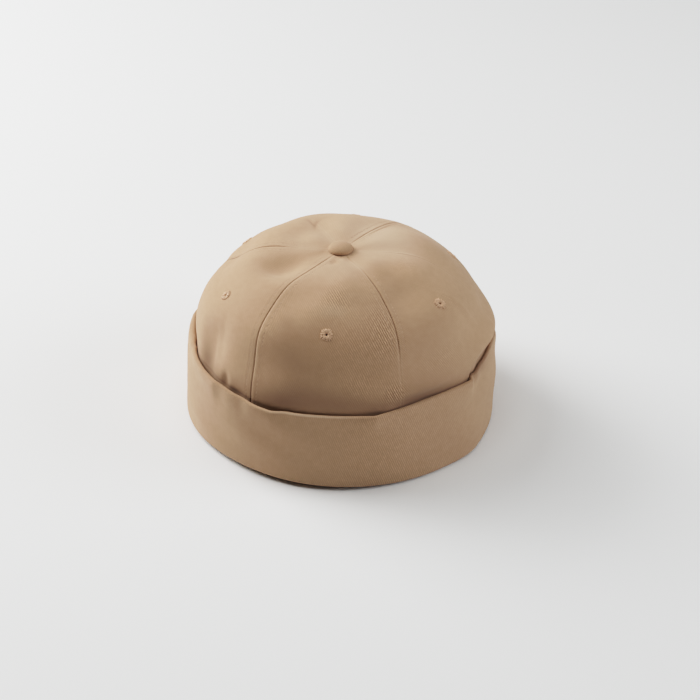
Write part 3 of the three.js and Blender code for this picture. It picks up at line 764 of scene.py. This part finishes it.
# %% Wear, painted light and painted shade of the crown's cloth
# Rubbed pale along the seams' raised edges, partly as a painted highlight: strength, distance from the seam,
# reach, and the share of it on the side panels
PANEL_RUB_AND_HIGHLIGHT, PALE_EDGE_LINE, PALE_EDGE_WIDE, SIDE_RUB_AND_HIGHLIGHT = 0.16, 0.9, 0.55, 0.6
SEAM_SOIL, SEAM_SOIL_WIDE = 0.7, 0.4
# How much paler the cloth is made towards the top near the button: strength, share and reach along
TOP_PALER, TOP_PALER_SHARE, TOP_PALER_LONG = 0.16, 0.1, 0.09

# Bearing, share, reach round in degrees, reach along as a share, and strength of the crown's bare patches
BARE_PATCHES = (
    (25, 0.43, 6, 0.13, 1.1), (13, 0.47, 13, 0.16, 0.45), (2, 0.28, 7, 0.06, 0.9),
    (27, 0.72, 4, 0.045, 1.7), (14, 0.68, 8, 0.06, 0.4), (-14, 0.7, 6, 0.05, 0.25),
    (50, 0.64, 9, 0.05, 0.3), (66, 0.42, 7, 0.06, 0.3), (-100, 0.16, 12, 0.05, 0.4),
    (-8, 0.36, 8, 0.05, 0.25), (75, 0.2, 14, 0.04, 0.3), (-24, 0.45, 4, 0.15, 0.3),
)

# The same columns for patches of painted light, and of painted shade (minus)
PAINTED_LIGHT_AND_SHADE = (
    (27, 0.35, 17, 0.09, -0.38), (46, 0.21, 16, 0.05, -0.24), (37, 0.76, 15, 0.07, -0.75),
    (-13, 0.6, 8, 0.08, -0.36), (-19, 0.42, 5, 0.05, -0.36), (-16, 0.77, 7, 0.05, -0.3),
    (-60, 0.1, 30, 0.05, -0.18), (132, 0.16, 44, 0.09, 0.38), (4, 0.34, 9, 0.035, 0.22),
    (-5, 0.24, 11, 0.03, -0.18), (-55.5, 0.715, 4, 0.05, -0.6),
)

# Painted shade above the cuff's rim, at the front and at the sides: strength, reach up, and the strip that
# is free
SHADE_FRONT, SHADE_SIDES = 1.0, 0.3
SHADE_REACH_FRONT, SHADE_REACH_SIDES = 24, 10
SHADE_FREE_FRONT, SHADE_FREE_SIDES = 13, 2.5
SHADE_BEARING, SHADE_TURN = -7, 26

# The thin line of painted shade where the rim lies against the crown
RIM_LINE_SHADE, RIM_LINE_UP, RIM_LINE_WIDE = 0.55, -0.6, 0.9


def painted_shade_along_cuff(points):
    """How much painted shade lies on the crown along the cuff's rim and just above it, with a thin line at
    the rim.
    """
    bearing = np.degrees(np.arctan2(points[..., 0], -points[..., 1]))
    front = bell(turn_between(SHADE_BEARING, bearing), SHADE_TURN)
    reach = blend(SHADE_REACH_SIDES, SHADE_REACH_FRONT, front)
    free = blend(SHADE_FREE_SIDES, SHADE_FREE_FRONT, front)
    above = points[..., 2] - rim_at(bearing)[1]
    darkening = blend(SHADE_SIDES, SHADE_FRONT, front) * (1 - ease(0, reach, above))
    line = RIM_LINE_SHADE * bell(above - RIM_LINE_UP, RIM_LINE_WIDE)
    return darkening * ease(-free / 2, free, above) + line


def panel_wear_and_painted_light(index, bearing, share, face):
    """Wear, painted light and painted shade of a panel's face; the seams' raised edges are rubbed pale,
    partly as a painted highlight, most on the front panel.
    """
    edge = section_out(share) * np.radians(from_seam(bearing))
    edge_rub_and_highlight = PANEL_RUB_AND_HIGHLIGHT * bell(edge - PALE_EDGE_LINE, PALE_EDGE_WIDE) * (1 if index == 0 else SIDE_RUB_AND_HIGHLIGHT)
    # Less the painted shade along the cuff's rim
    wear_and_painted_light = edge_rub_and_highlight - painted_shade_along_cuff(face)
    wear_and_painted_light = wear_and_painted_light - SEAM_SOIL * bell(edge, SEAM_SOIL_WIDE) * seam_strength(bearing, share)
    wear_and_painted_light = wear_and_painted_light + TOP_PALER * bell(share - TOP_PALER_SHARE, TOP_PALER_LONG)
    # Less the painted shade in the creases
    wear_and_painted_light = wear_and_painted_light - creases(bearing + seam_drift(bearing, share), share, SHADE_COLUMN)
    # Plus patches of painted light and of painted shade
    return wear_and_painted_light + patches(PAINTED_LIGHT_AND_SHADE, bearing, share)


print("worn places:", len(BARE_PATCHES), "bare patches and", len(PAINTED_LIGHT_AND_SHADE), "patches of another tone")

# %% Make the panels


def twill_panel(index):
    """One gore of the crown as a closed wall with an eyelet hole."""
    middle = panel_middle(index)
    row, column = EYELET_ROWS[index], PANEL_COLUMNS // 2
    bearing, share = panel_places(middle, row)
    face = crown_points(bearing, share)
    back = crown_points(bearing, share, -PANEL_CLOTH)
    points = np.concatenate([face.reshape(-1, 3), back.reshape(-1, 3)])
    face_numbers = np.arange(bearing.size).reshape(bearing.shape)
    back_numbers = face_numbers + bearing.size
    hole = np.s_[row - HOLE_CELLS:row + HOLE_CELLS + 1, column - HOLE_CELLS:column + HOLE_CELLS + 1]
    kept = np.ones((PANEL_ROWS, PANEL_COLUMNS), bool)
    kept[row - HOLE_CELLS:row + HOLE_CELLS, column - HOLE_CELLS:column + HOLE_CELLS] = False
    quads = np.concatenate([
        quads_between(face_numbers)[kept.ravel()],
        quads_between(back_numbers)[kept.ravel()][:, ::-1],
        border_quads(face_numbers, back_numbers),
        border_quads(face_numbers[hole], back_numbers[hole])[:, ::-1],
    ])
    flat_round = np.radians(bearing - middle) * section_out(share)
    flat = np.stack([flat_round, -share * SECTION_LENGTH], axis=-1).reshape(-1, 2)
    plain_back = np.zeros(bearing.size)
    wear_and_painted_light = np.append(panel_wear_and_painted_light(index, bearing, share, face), plain_back)
    bare = np.append(patches(BARE_PATCHES, bearing, share), plain_back)
    return make_piece(
        f"twill_panel_{index + 1}", points, quads, np.concatenate([flat, flat]), wear_and_painted_light, bare, crown_twill)


panels = [twill_panel(index) for index in range(PANEL_COUNT)]
for index, panel in enumerate(panels):
    finish_piece(panel, "crown_twill", f"crown_panel_{index + 1}")
print("panels:", len(panels), "with", len(panels[0].data.polygons), "faces each")

# %% [markdown]
# ## Geometry Nodes for what repeats
# Stitches follow a line, satin threads go round a hole, and a covered button follows a simple rule. Each is
# a small node tree with named inputs. The tree runs once on a seed mesh, its instances are made real, and
# the result is kept as a plain mesh, so that the file holds no live modifier.

# %% Helpers for node trees


def start_tree(name, **inputs):
    """A geometry tree with named inputs; gives back the tree, what it is given and its output node."""
    tree = bpy.data.node_groups.new(name, "GeometryNodeTree")
    tree.interface.new_socket("Geometry", in_out="INPUT", socket_type="NodeSocketGeometry")
    for label, kind in inputs.items():
        tree.interface.new_socket(label, in_out="INPUT", socket_type=f"NodeSocket{kind}")
    tree.interface.new_socket("Geometry", in_out="OUTPUT", socket_type="NodeSocketGeometry")
    return tree, add_node(tree, "NodeGroupInput").outputs, add_node(tree, "NodeGroupOutput")


def grow(name, seed_mesh, tree, **values):
    """Run a tree on a mesh with these inputs, and keep the result as a plain mesh object."""
    piece = add_to_scene(name, seed_mesh)
    modifier = piece.modifiers.new("grow", "NODES")
    modifier.node_group = tree
    for socket in tree.interface.items_tree:
        if socket.in_out == "INPUT" and socket.name in values:
            modifier[socket.identifier] = values[socket.name]
    graph = bpy.context.evaluated_depsgraph_get()
    grown = bpy.data.meshes.new_from_object(piece.evaluated_get(graph), depsgraph=graph)
    piece.modifiers.remove(modifier)
    piece.data = grown
    grown.name = name
    return piece


def end_tree(tree, output, geometry, material):
    """Make the instances real, smooth them and give them their material."""
    real = add_node(tree, "GeometryNodeRealizeInstances", {"Geometry": geometry})
    smooth = add_node(tree, "GeometryNodeSetShadeSmooth", {"Geometry": real.outputs["Geometry"]})
    dressed = add_node(tree, "GeometryNodeSetMaterial",
                       {"Geometry": smooth.outputs["Geometry"], "Material": material})
    tree.links.new(dressed.outputs["Geometry"], output.inputs["Geometry"])


print("tree helpers ready")

# %% [markdown]
# ## Topstitching
# A lockstitch shows as short threads in a row, each ending in the cloth where the needle went down. The
# rows run beside every seam that shows. Drawn in the material they would look printed, so each is a small
# body. A row is a chain of edges on the cloth that carries the cloth's normal, and the tree lays one bean
# of thread on every pitch, upright on the cloth.

# %% Tree that lays stitches along a line
# Scales of the smallest and the largest stitch: along, across, up
SMALLEST_STITCH, LARGEST_STITCH = (0.9, 0.85, 0.85), (1.08, 1.15, 1.15)

tree, given, output = start_tree(
    "topstitches", Pitch="Float", Length="Float", Thread="Float", Seed="Int", Material="Material")
rows = add_node(tree, "GeometryNodeMeshToCurve", {"Mesh": given["Geometry"]})
steps = add_node(tree, "GeometryNodeResampleCurve",
                 {"Curve": rows.outputs["Curve"], "Length": given["Pitch"]}, mode="LENGTH")
upright = add_node(tree, "GeometryNodeInputNamedAttribute", {"Name": "upright"}, data_type="FLOAT_VECTOR")
along = add_node(tree, "GeometryNodeInputTangent")
turned = add_node(tree, "FunctionNodeAxesToRotation", {
    "Primary Axis": along.outputs[0], "Secondary Axis": upright.outputs["Attribute"],
}, primary_axis="X", secondary_axis="Z")
half_length = add_node(tree, "ShaderNodeMath", {0: given["Length"], 1: 0.5}, operation="MULTIPLY")
bean_size = add_node(tree, "ShaderNodeCombineXYZ",
                     {"X": half_length.outputs[0], "Y": given["Thread"], "Z": given["Thread"]})
ball = add_node(tree, "GeometryNodeMeshUVSphere", {"Segments": 7, "Rings": 6, "Radius": 1.0})
upended = add_node(tree, "GeometryNodeTransform",
                   {"Geometry": ball.outputs["Mesh"], "Rotation": (0, math.pi / 2, 0)})
bean = add_node(tree, "GeometryNodeTransform",
                {"Geometry": upended.outputs["Geometry"], "Scale": bean_size.outputs[0]})
uneven = add_node(tree, "FunctionNodeRandomValue", {
    0: SMALLEST_STITCH, 1: LARGEST_STITCH, "Seed": given["Seed"],
}, data_type="FLOAT_VECTOR")
laid = add_node(tree, "GeometryNodeInstanceOnPoints", {
    "Points": steps.outputs["Curve"],
    "Instance": bean.outputs["Geometry"],
    "Rotation": turned.outputs[0],
    "Scale": uneven.outputs[0],
})
end_tree(tree, output, laid.outputs["Instances"], given["Material"])
stitch_tree = tree
print("stitch tree has", len(stitch_tree.nodes), "nodes")

# %% Lay the rows beside the seams
STITCH_PITCH, STITCH_LENGTH, STITCH_THREAD = 2.6, 2.1, 0.26
ROW_STEPS = 150
ROW_START_OUT, ROW_END_SHARE = 11, 0.93
STITCH_SINK = 0.1
STITCH_CLEAR = 0.5
STITCH_SEED = 5


def stitch_rows():
    """Chains of edges beside each seam, carrying the cloth's normal."""
    points, ways, edges = [], [], []
    share = np.linspace(0, ROW_END_SHARE, ROW_STEPS)
    out = section_out(share)
    share = share[out > ROW_START_OUT]
    out = out[out > ROW_START_OUT]
    for index in range(PANEL_COUNT):
        for side in (-1, 1):
            seam = panel_middle(index) + 180 / PANEL_COUNT
            bearing = seam + side * np.degrees(np.arcsin(STITCH_LINE / out))
            clear = seam_strength(bearing, share) > STITCH_CLEAR
            if not clear.any():
                continue
            start = sum(len(row) for row in points)
            points.append(crown_points(bearing[clear], share[clear], -STITCH_SINK))
            ways.append(crown_normal(bearing[clear], share[clear]))
            edges += [(start + step, start + step + 1) for step in range(clear.sum() - 1)]
    mesh = bpy.data.meshes.new("stitch_rows")
    mesh.from_pydata(np.concatenate(points) * MM, edges, [])
    mesh.attributes.new("upright", "FLOAT_VECTOR", "POINT").data.foreach_set(
        "vector", np.concatenate(ways).ravel())
    return mesh


topstitches = grow(
    "crown_topstitches", stitch_rows(), stitch_tree,
    Pitch=STITCH_PITCH * MM, Length=STITCH_LENGTH * MM, Thread=STITCH_THREAD * MM, Seed=STITCH_SEED,
    Material=seam_thread)
finish_piece(topstitches, "eyelet_thread")
print("topstitching faces:", len(topstitches.data.polygons))

# %% [markdown]
# ## Worked eyelets
# An eyelet is a small round hole whose edge is oversewn with satin stitch: each thread comes up through the
# hole, crosses the ring and goes down outside it. A plain ring would look moulded, so the tree bends one
# thread over the ring and repeats it round the hole, with a little unevenness, as a machine leaves it.

# %% Tree that works an eyelet
# Heights of a thread's ends and of its handles as shares of the rise, its stray as a share of the step, and
# the scales of the smallest and the largest thread: along, across, up
THREAD_ENDS, THREAD_HANDLES, THREAD_STRAY = -0.7, 1.5, 0.3
SMALLEST_THREAD, LARGEST_THREAD = (0.9, 0.9, 0.8), (1.08, 1.1, 1.15)

tree, given, output = start_tree(
    "worked eyelet", Hole="Float", Outer="Float", Rise="Float", Threads="Int", Thread="Float", Seed="Int",
    Material="Material")
below = add_node(tree, "ShaderNodeMath", {0: given["Rise"], 1: THREAD_ENDS}, operation="MULTIPLY")
crest = add_node(tree, "ShaderNodeMath", {0: given["Rise"], 1: THREAD_HANDLES}, operation="MULTIPLY")
inner_end = add_node(tree, "ShaderNodeCombineXYZ", {"X": given["Hole"], "Z": below.outputs[0]})
inner_pull = add_node(tree, "ShaderNodeCombineXYZ", {"X": given["Hole"], "Z": crest.outputs[0]})
outer_pull = add_node(tree, "ShaderNodeCombineXYZ", {"X": given["Outer"], "Z": crest.outputs[0]})
outer_end = add_node(tree, "ShaderNodeCombineXYZ", {"X": given["Outer"], "Z": below.outputs[0]})
arc = add_node(tree, "GeometryNodeCurvePrimitiveBezierSegment", {
    "Resolution": 8,
    "Start": inner_end.outputs[0],
    "Start Handle": inner_pull.outputs[0],
    "End Handle": outer_pull.outputs[0],
    "End": outer_end.outputs[0],
}, mode="POSITION")
strand = add_node(tree, "GeometryNodeCurvePrimitiveCircle", {"Resolution": 6, "Radius": given["Thread"]})
thread = add_node(tree, "GeometryNodeCurveToMesh", {
    "Curve": arc.outputs["Curve"], "Profile Curve": strand.outputs["Curve"], "Fill Caps": True,
})
spokes = add_node(tree, "GeometryNodePoints", {"Count": given["Threads"]})
number = add_node(tree, "GeometryNodeInputIndex")
spoke_step = add_node(tree, "ShaderNodeMath", {0: 2 * math.pi, 1: given["Threads"]}, operation="DIVIDE")
jitter = add_node(tree, "FunctionNodeRandomValue", {
    2: -THREAD_STRAY, 3: THREAD_STRAY, "Seed": given["Seed"],
}, data_type="FLOAT")
spoke = add_node(tree, "ShaderNodeMath", {0: number.outputs[0], 1: jitter.outputs[1]}, operation="ADD")
angle = add_node(tree, "ShaderNodeMath", {0: spoke.outputs[0], 1: spoke_step.outputs[0]},
                 operation="MULTIPLY")
heading = add_node(tree, "ShaderNodeCombineXYZ", {"Z": angle.outputs[0]})
turned = add_node(tree, "FunctionNodeEulerToRotation", {0: heading.outputs[0]})
uneven = add_node(tree, "FunctionNodeRandomValue", {
    0: SMALLEST_THREAD, 1: LARGEST_THREAD, "Seed": given["Seed"],
}, data_type="FLOAT_VECTOR")
laid = add_node(tree, "GeometryNodeInstanceOnPoints", {
    "Points": spokes.outputs[0],
    "Instance": thread.outputs["Mesh"],
    "Rotation": turned.outputs[0],
    "Scale": uneven.outputs[0],
})
end_tree(tree, output, laid.outputs["Instances"], given["Material"])
eyelet_tree = tree
print("eyelet tree has", len(eyelet_tree.nodes), "nodes")

# %% Work the six eyelets
EYELET_OUTER, EYELET_RISE = 3.6, 0.4
EYELET_THREADS, EYELET_THREAD = 24, 0.4
EYELET_SEED = 20


def eyelet_seat(index):
    """Where an eyelet sits on the cloth, as a matrix in metres with its axis along the normal."""
    bearing, share = panel_middle(index), EYELET_ROWS[index] / PANEL_ROWS
    seat = Vector(crown_points(bearing, share) * MM)
    facing = Vector(crown_normal(bearing, share))
    return Matrix.Translation(seat) @ facing.to_track_quat("Z", "X").to_matrix().to_4x4()


for index in range(PANEL_COUNT):
    eyelet = grow(
        f"worked_eyelet_{index + 1}", bpy.data.meshes.new("eyelet seed"), eyelet_tree,
        Hole=EYELET_HOLE * MM, Outer=EYELET_OUTER * MM, Rise=EYELET_RISE * MM,
        Threads=EYELET_THREADS, Thread=EYELET_THREAD * MM, Seed=EYELET_SEED + index,
        Material=eyelet_thread)
    eyelet.data.transform(eyelet_seat(index))
    finish_piece(eyelet, "eyelet_thread", f"eyelet_{index + 1}")
print("eyelets:", PANEL_COUNT, "with", len(eyelet.data.polygons), "faces each")

# %% [markdown]
# ## The turned-up cuff
# The cloth's section is a path: down inside from the sewn edge, round the bottom fold, up the outer leg,
# over the rim and down the hem that is turned under. A thick tube could stand for it, but its edges would
# not look folded. So the path is laid out for every bearing and given the cloth's thickness on both sides.
# At the left the rim is rolled more loosely. Its crest gets painted light in front and painted shade at the
# sides, and one corner at the right gets painted shade.

# %% The path of the cuff's cloth
# Which way the cloth faces, in degrees: to the axis, down, out, and beyond the rim to the axis again
FACES_IN, FACES_DOWN, FACES_OUT, FACES_BACK = 180.0, 270.0, 360.0, 540.0
FOLD_IN_STEPS, FOLD_OUT_STEPS, LEG_STEPS, RIM_STEPS, HEM_STEPS = 8, 10, 34, 17, 12
CUFF_BEARINGS = 480


def cuff_path(bearing):
    """Distance out, height and facing angle of the cloth's middle along its path, for each bearing."""
    half = CUFF_CLOTH / 2
    around = bearing[:, None]
    rim_up = rim_at(around)[1]
    roll = rim_fold(around)
    lift = BASE_LIFT * (1 - ease(0, LIFT_REACH, np.abs(turn_between(LIFT_BEARING, around))))

    def leg_out(up):
        return leg_face(around, up) - half

    def hem_out(up):
        return leg_out(up) - 2 * roll

    def arc(out, up, radius, start, end, steps):
        faces = np.linspace(start, end, steps)[None, :]
        turn = np.radians(faces)
        return out + radius * np.cos(turn), up + radius * np.sin(turn), faces

    def run(out_of, start, end, faces, steps):
        up = blend(start, end, np.linspace(0, 1, steps + 2)[None, 1:-1])
        return out_of(up), up, np.full((1, steps), faces)

    fold_up = half + BOTTOM_FOLD + lift
    top = rim_up - half - roll
    sewn = np.full_like(rim_up, CUFF_SEWN_OUT)
    stretches = [
        (sewn, np.full_like(rim_up, CUFF_SEWN_UP), np.full((1, 1), FACES_IN)),
        arc(sewn + BOTTOM_FOLD, fold_up, BOTTOM_FOLD, FACES_IN, FACES_DOWN, FOLD_IN_STEPS),
        arc(leg_out(fold_up) - BOTTOM_FOLD, fold_up, BOTTOM_FOLD, FACES_DOWN, FACES_OUT, FOLD_OUT_STEPS),
        run(leg_out, fold_up, top, FACES_OUT, LEG_STEPS),
        arc(leg_out(top) - roll, top, roll, FACES_OUT, FACES_BACK, RIM_STEPS),
        run(hem_out, top, HEM_END_UP, FACES_BACK, HEM_STEPS),
    ]
    whole = [np.broadcast_arrays(rim_up, *stretch)[1:] for stretch in stretches]
    return [np.concatenate([stretch[part] for stretch in whole], axis=1) for part in range(3)]


bearings = np.linspace(-180, 180, CUFF_BEARINGS, endpoint=False)
path_out, path_up, path_faces = cuff_path(bearings)
print("cuff path:", path_out.shape[1], "stations at", CUFF_BEARINGS, "bearings")

# %% Skin and flat cut of the cuff


def cuff_skin(lift):
    """Points of the cuff's cloth, lifted along its facing."""
    turn = np.radians(path_faces)
    return place_at(bearings[:, None], path_out + lift * np.cos(turn), path_up + lift * np.sin(turn))


loop_points = np.concatenate([cuff_skin(CUFF_CLOTH / 2), cuff_skin(-CUFF_CLOTH / 2)[:, ::-1]], axis=1)
loop = loop_points.shape[1]
numbers = np.arange(CUFF_BEARINGS * loop).reshape(CUFF_BEARINGS, loop)
wrapped = np.pad(numbers, ((0, 1), (0, 1)), mode="wrap")
steps = np.hypot(np.diff(path_out, axis=1), np.diff(path_up, axis=1)).mean(axis=0)
walked = np.concatenate([[0], np.cumsum(steps)])
flat_up = np.concatenate([walked, walked[::-1], [0]])
flat_round = np.radians(np.append(bearings, 180)) * CUFF_BASE_OUT
flat = np.stack(np.meshgrid(flat_round, flat_up, indexing="ij"), axis=-1).reshape(-1, 2)
flat_numbers = np.arange(len(flat)).reshape(CUFF_BEARINGS + 1, loop + 1)

# %% Make the cuff
RIM_CREST_FACING, RIM_CREST_TURN = 415, 38
# Painted light on the rim's crest in front, and painted shade on it at the sides: strengths, and bearing and
# reach of the front
RIM_LIGHT_FRONT, RIM_SHADE_SIDES = 0.55, -0.22
RIM_LIGHT_BEARING, RIM_LIGHT_TURN = -4, 20
# A band of painted shade on the rim's outer face at the right: strength, bearing, reach round, and depth
# down from the rim
RIM_SHADE, RIM_SHADE_BEARING, RIM_SHADE_TURN, RIM_SHADE_DEEP = 0.6, 70, 7, 7
CUFF_BARE, CUFF_BARE_BEARING, CUFF_BARE_TURN = 0.45, 25, 26

rim_front = bell(turn_between(RIM_LIGHT_BEARING, bearings), RIM_LIGHT_TURN)
rim_light_and_shade = blend(RIM_SHADE_SIDES, RIM_LIGHT_FRONT, rim_front)
rim_shade = RIM_SHADE * bell(turn_between(RIM_SHADE_BEARING, bearings), RIM_SHADE_TURN)
rim_up = rim_at(bearings)[1][:, None]
shaded_band = (path_faces >= FACES_OUT) * ease(rim_up - RIM_SHADE_DEEP, rim_up, path_up)
crest = rim_light_and_shade[:, None] * bell(path_faces - RIM_CREST_FACING, RIM_CREST_TURN)
crest = crest - rim_shade[:, None] * shaded_band
wear_and_painted_light = np.concatenate([crest, np.zeros_like(crest)], axis=1)
bare = CUFF_BARE * bell(turn_between(CUFF_BARE_BEARING, bearings), CUFF_BARE_TURN)
bare = np.broadcast_to(bare[:, None], wear_and_painted_light.shape)
cuff = make_piece(
    "turned_up_cuff", loop_points.reshape(-1, 3), quads_between(wrapped), flat, wear_and_painted_light.ravel(), bare.ravel(),
    cuff_twill, uv_quads=quads_between(flat_numbers))
finish_piece(cuff, "cuff_twill", "cuff")
print("cuff faces:", len(cuff.data.polygons))

# %% [markdown]
# ## The covered button
# A small domed form is covered with a round of the same twill, gathered in underneath, and riveted through
# the point where the panels meet. Its shape follows a rule: a ball flattened into a low dome with a rounded
# edge, tucked in below with a ring of small pleats. The tree shapes a sphere that way.

# %% Tree that covers a button
# Depth of the pleats as a share of the radius
PLEAT_DEEP = 0.04

tree, given, output = start_tree(
    "covered button", Radius="Float", Rise="Float", Edge="Float", Pleats="Float", Seat="Float",
    Material="Material")
ball = add_node(tree, "GeometryNodeMeshUVSphere", {"Segments": 96, "Rings": 48, "Radius": 1.0})
where = add_node(tree, "ShaderNodeSeparateXYZ", {0: add_node(tree, "GeometryNodeInputPosition").outputs[0]})
upper = add_node(tree, "ShaderNodeMath", {0: where.outputs["Z"], 1: 0.0}, operation="MAXIMUM")
lower = add_node(tree, "ShaderNodeMath", {0: where.outputs["Z"], 1: 0.0}, operation="MINIMUM")
dome_rise = add_node(tree, "ShaderNodeMath", {0: given["Rise"], 1: given["Edge"]}, operation="SUBTRACT")
dome = add_node(tree, "ShaderNodeMath", {0: upper.outputs[0], 1: dome_rise.outputs[0]},
                operation="MULTIPLY")
under = add_node(tree, "ShaderNodeMath", {0: lower.outputs[0], 1: given["Edge"], 2: given["Edge"]},
                 operation="MULTIPLY_ADD")
shaped = add_node(tree, "ShaderNodeMath", {0: dome.outputs[0], 1: under.outputs[0]}, operation="ADD")
height = add_node(tree, "ShaderNodeMath", {0: shaped.outputs[0], 1: given["Seat"]}, operation="ADD")
bearing = add_node(tree, "ShaderNodeMath", {0: where.outputs["Y"], 1: where.outputs["X"]},
                   operation="ARCTAN2")
pleat_turn = add_node(tree, "ShaderNodeMath", {0: bearing.outputs[0], 1: given["Pleats"]},
                      operation="MULTIPLY")
pleat_wave = add_node(tree, "ShaderNodeMath", {0: pleat_turn.outputs[0]}, operation="SINE")
pleat_depth = add_node(tree, "ShaderNodeMath", {0: lower.outputs[0], 1: PLEAT_DEEP}, operation="MULTIPLY")
spread = add_node(tree, "ShaderNodeMath",
                  {0: pleat_wave.outputs[0], 1: pleat_depth.outputs[0], 2: 1.0}, operation="MULTIPLY_ADD")
wide = add_node(tree, "ShaderNodeMath", {0: spread.outputs[0], 1: given["Radius"]}, operation="MULTIPLY")
side = add_node(tree, "ShaderNodeMath", {0: where.outputs["X"], 1: wide.outputs[0]}, operation="MULTIPLY")
deep = add_node(tree, "ShaderNodeMath", {0: where.outputs["Y"], 1: wide.outputs[0]}, operation="MULTIPLY")
place = add_node(tree, "ShaderNodeCombineXYZ",
                 {"X": side.outputs[0], "Y": deep.outputs[0], "Z": height.outputs[0]})
shape = add_node(tree, "GeometryNodeSetPosition",
                 {"Geometry": ball.outputs["Mesh"], "Position": place.outputs[0]})
end_tree(tree, output, shape.outputs["Geometry"], given["Material"])
button_tree = tree
print("button tree has", len(button_tree.nodes), "nodes")

# %% Cover the button
BUTTON_RADIUS, BUTTON_RISE, BUTTON_EDGE = 7.7, 5.0, 0.7
BUTTON_PLEATS, BUTTON_SINK = 18.0, 0.3
BUTTON_SEAT = CROWN_SECTIONS[0][1] - BUTTON_SINK
button = grow(
    "covered_button", bpy.data.meshes.new("button seed"), button_tree,
    Radius=BUTTON_RADIUS * MM, Rise=BUTTON_RISE * MM, Edge=BUTTON_EDGE * MM, Pleats=BUTTON_PLEATS,
    Seat=float(BUTTON_SEAT) * MM, Material=button_twill)
finish_piece(button, "button_twill", "top_button")
print("button faces:", len(button.data.polygons))

# %% [markdown]
# ## Cut sizes of the cloth
# Each panel was cut as a flat gore and the cuff as a straight band. Their flat sizes could be guessed from a
# pattern, but here they come from the same section and path as the meshes, so cut and cloth agree closely.
# The left seam has strayed to the back, so of the two gores beside it the front one is wider.

# %% [markdown]
# ## Floor and studio light
# The cap stands on a wide table in pale matt paint, which scatters the light and mirrors nothing. Two large
# soft lights stand at the left, a low one rather behind the cap and a higher one beside it. A weaker one
# fills the right and another hangs overhead. The front faces away from them and gets mostly what the table
# sends back, so it is the darkest side, and the shadow lies soft to the right and the front.

# %% Lay the table
FLOOR_SIZE = 14.0
TABLE_GRAIN = 0.9 * MM

table_paint, tree, shader = start_material("matt table paint")
grain = add_node(tree, "ShaderNodeTexNoise", {
    "Vector": add_node(tree, "ShaderNodeTexCoord").outputs["Object"], "Scale": 1 / TABLE_GRAIN,
})
paint = add_node(tree, "ShaderNodeMix", {
    MIX_FACTOR: grain.outputs["Fac"], MIX_A: linear("#EFF0F0"), MIX_B: linear("#F4F5F5"),
}, data_type="RGBA")
tree.links.new(paint.outputs[MIX_RESULT], shader.inputs["Base Color"])
shader.inputs["Roughness"].default_value = 0.75
shader.inputs["Specular IOR Level"].default_value = 0.2

table_mesh = bpy.data.meshes.new("table")
reach = FLOOR_SIZE / 2
table_mesh.from_pydata([(-reach, -reach, 0), (reach, -reach, 0), (reach, reach, 0), (-reach, reach, 0)], [],
                       [(0, 1, 2, 3)])
table_mesh.materials.append(table_paint)
add_to_scene("table", table_mesh)
print("table:", FLOOR_SIZE, "m wide")

# %% Set the lights
LIGHT_SIZE, LIGHT_DISTANCE = 1.0, 1.6
LIGHT_AIM = (0, 0, 50 * MM)
AIR_LIGHT, AIR_COLOUR = 0.01, "#FBFCFF"

# Bearing and height angle in degrees, power in watts, colour
STUDIO_LIGHTS = {
    "low light at the left": (-116, 25, 16.8, "#FFFFFF"),
    "high light at the left": (-106, 46, 10.6, "#FFFFFF"),
    "fill at the right": (90, 25, 9.3, "#F6FAFF"),
    "overhead light": (0, 90, 5.5, "#FFFBF3"),
}

for name, (bearing, height, power, colour) in STUDIO_LIGHTS.items():
    lamp = add_to_scene(name, bpy.data.lights.new(name, "AREA"))
    lamp.data.size = LIGHT_SIZE
    lamp.data.energy = power
    lamp.data.color = linear(colour)[:3]
    rise = math.radians(height)
    lamp.location = place_at(bearing, math.cos(rise), math.sin(rise)) * LIGHT_DISTANCE
    aim(lamp, LIGHT_AIM)

world = bpy.data.worlds.new("studio air")
world.use_nodes = True
air = world.node_tree.nodes["Background"]
air.inputs["Color"].default_value = linear(AIR_COLOUR)
air.inputs["Strength"].default_value = AIR_LIGHT
bpy.context.scene.world = world
print("lights:", ", ".join(STUDIO_LIGHTS))

# %% [markdown]
# ## The camera's tone curve
# A camera doesn't record light evenly: it deepens the shadows a little and rolls off the bright end, so
# that pale cloth keeps its detail on a pale table. A ready-made film look could be picked instead, but those
# also grey the colours. A curve of a simple rule does just this: a power, held back by a knee.

# %% Bend the tones
TONE_GAIN, TONE_KNEE, TONE_POWER = 4.117, 3.77, 1.3
TONE_WHITE = 2.0
TONE_SHARES = (0.02, 0.05, 0.1, 0.2, 0.35, 0.6)

# The curves are those of red, green and blue, and then the one for all three
ALL_COLOURS = 3


def tone(light):
    """What the camera records for an amount of light."""
    bent = light ** TONE_POWER
    return TONE_GAIN * bent / (1 + TONE_KNEE * bent)


settings = bpy.context.scene.view_settings
settings.view_transform = "Standard"
settings.use_curve_mapping = True
settings.curve_mapping.white_level = (TONE_WHITE, TONE_WHITE, TONE_WHITE)
curve = settings.curve_mapping.curves[ALL_COLOURS]
curve.points[1].location = (1, tone(TONE_WHITE))
for share in TONE_SHARES:
    curve.points.new(share, tone(share * TONE_WHITE))
settings.curve_mapping.update()
print("a white card in full light records as", round(tone(1.0), 3))
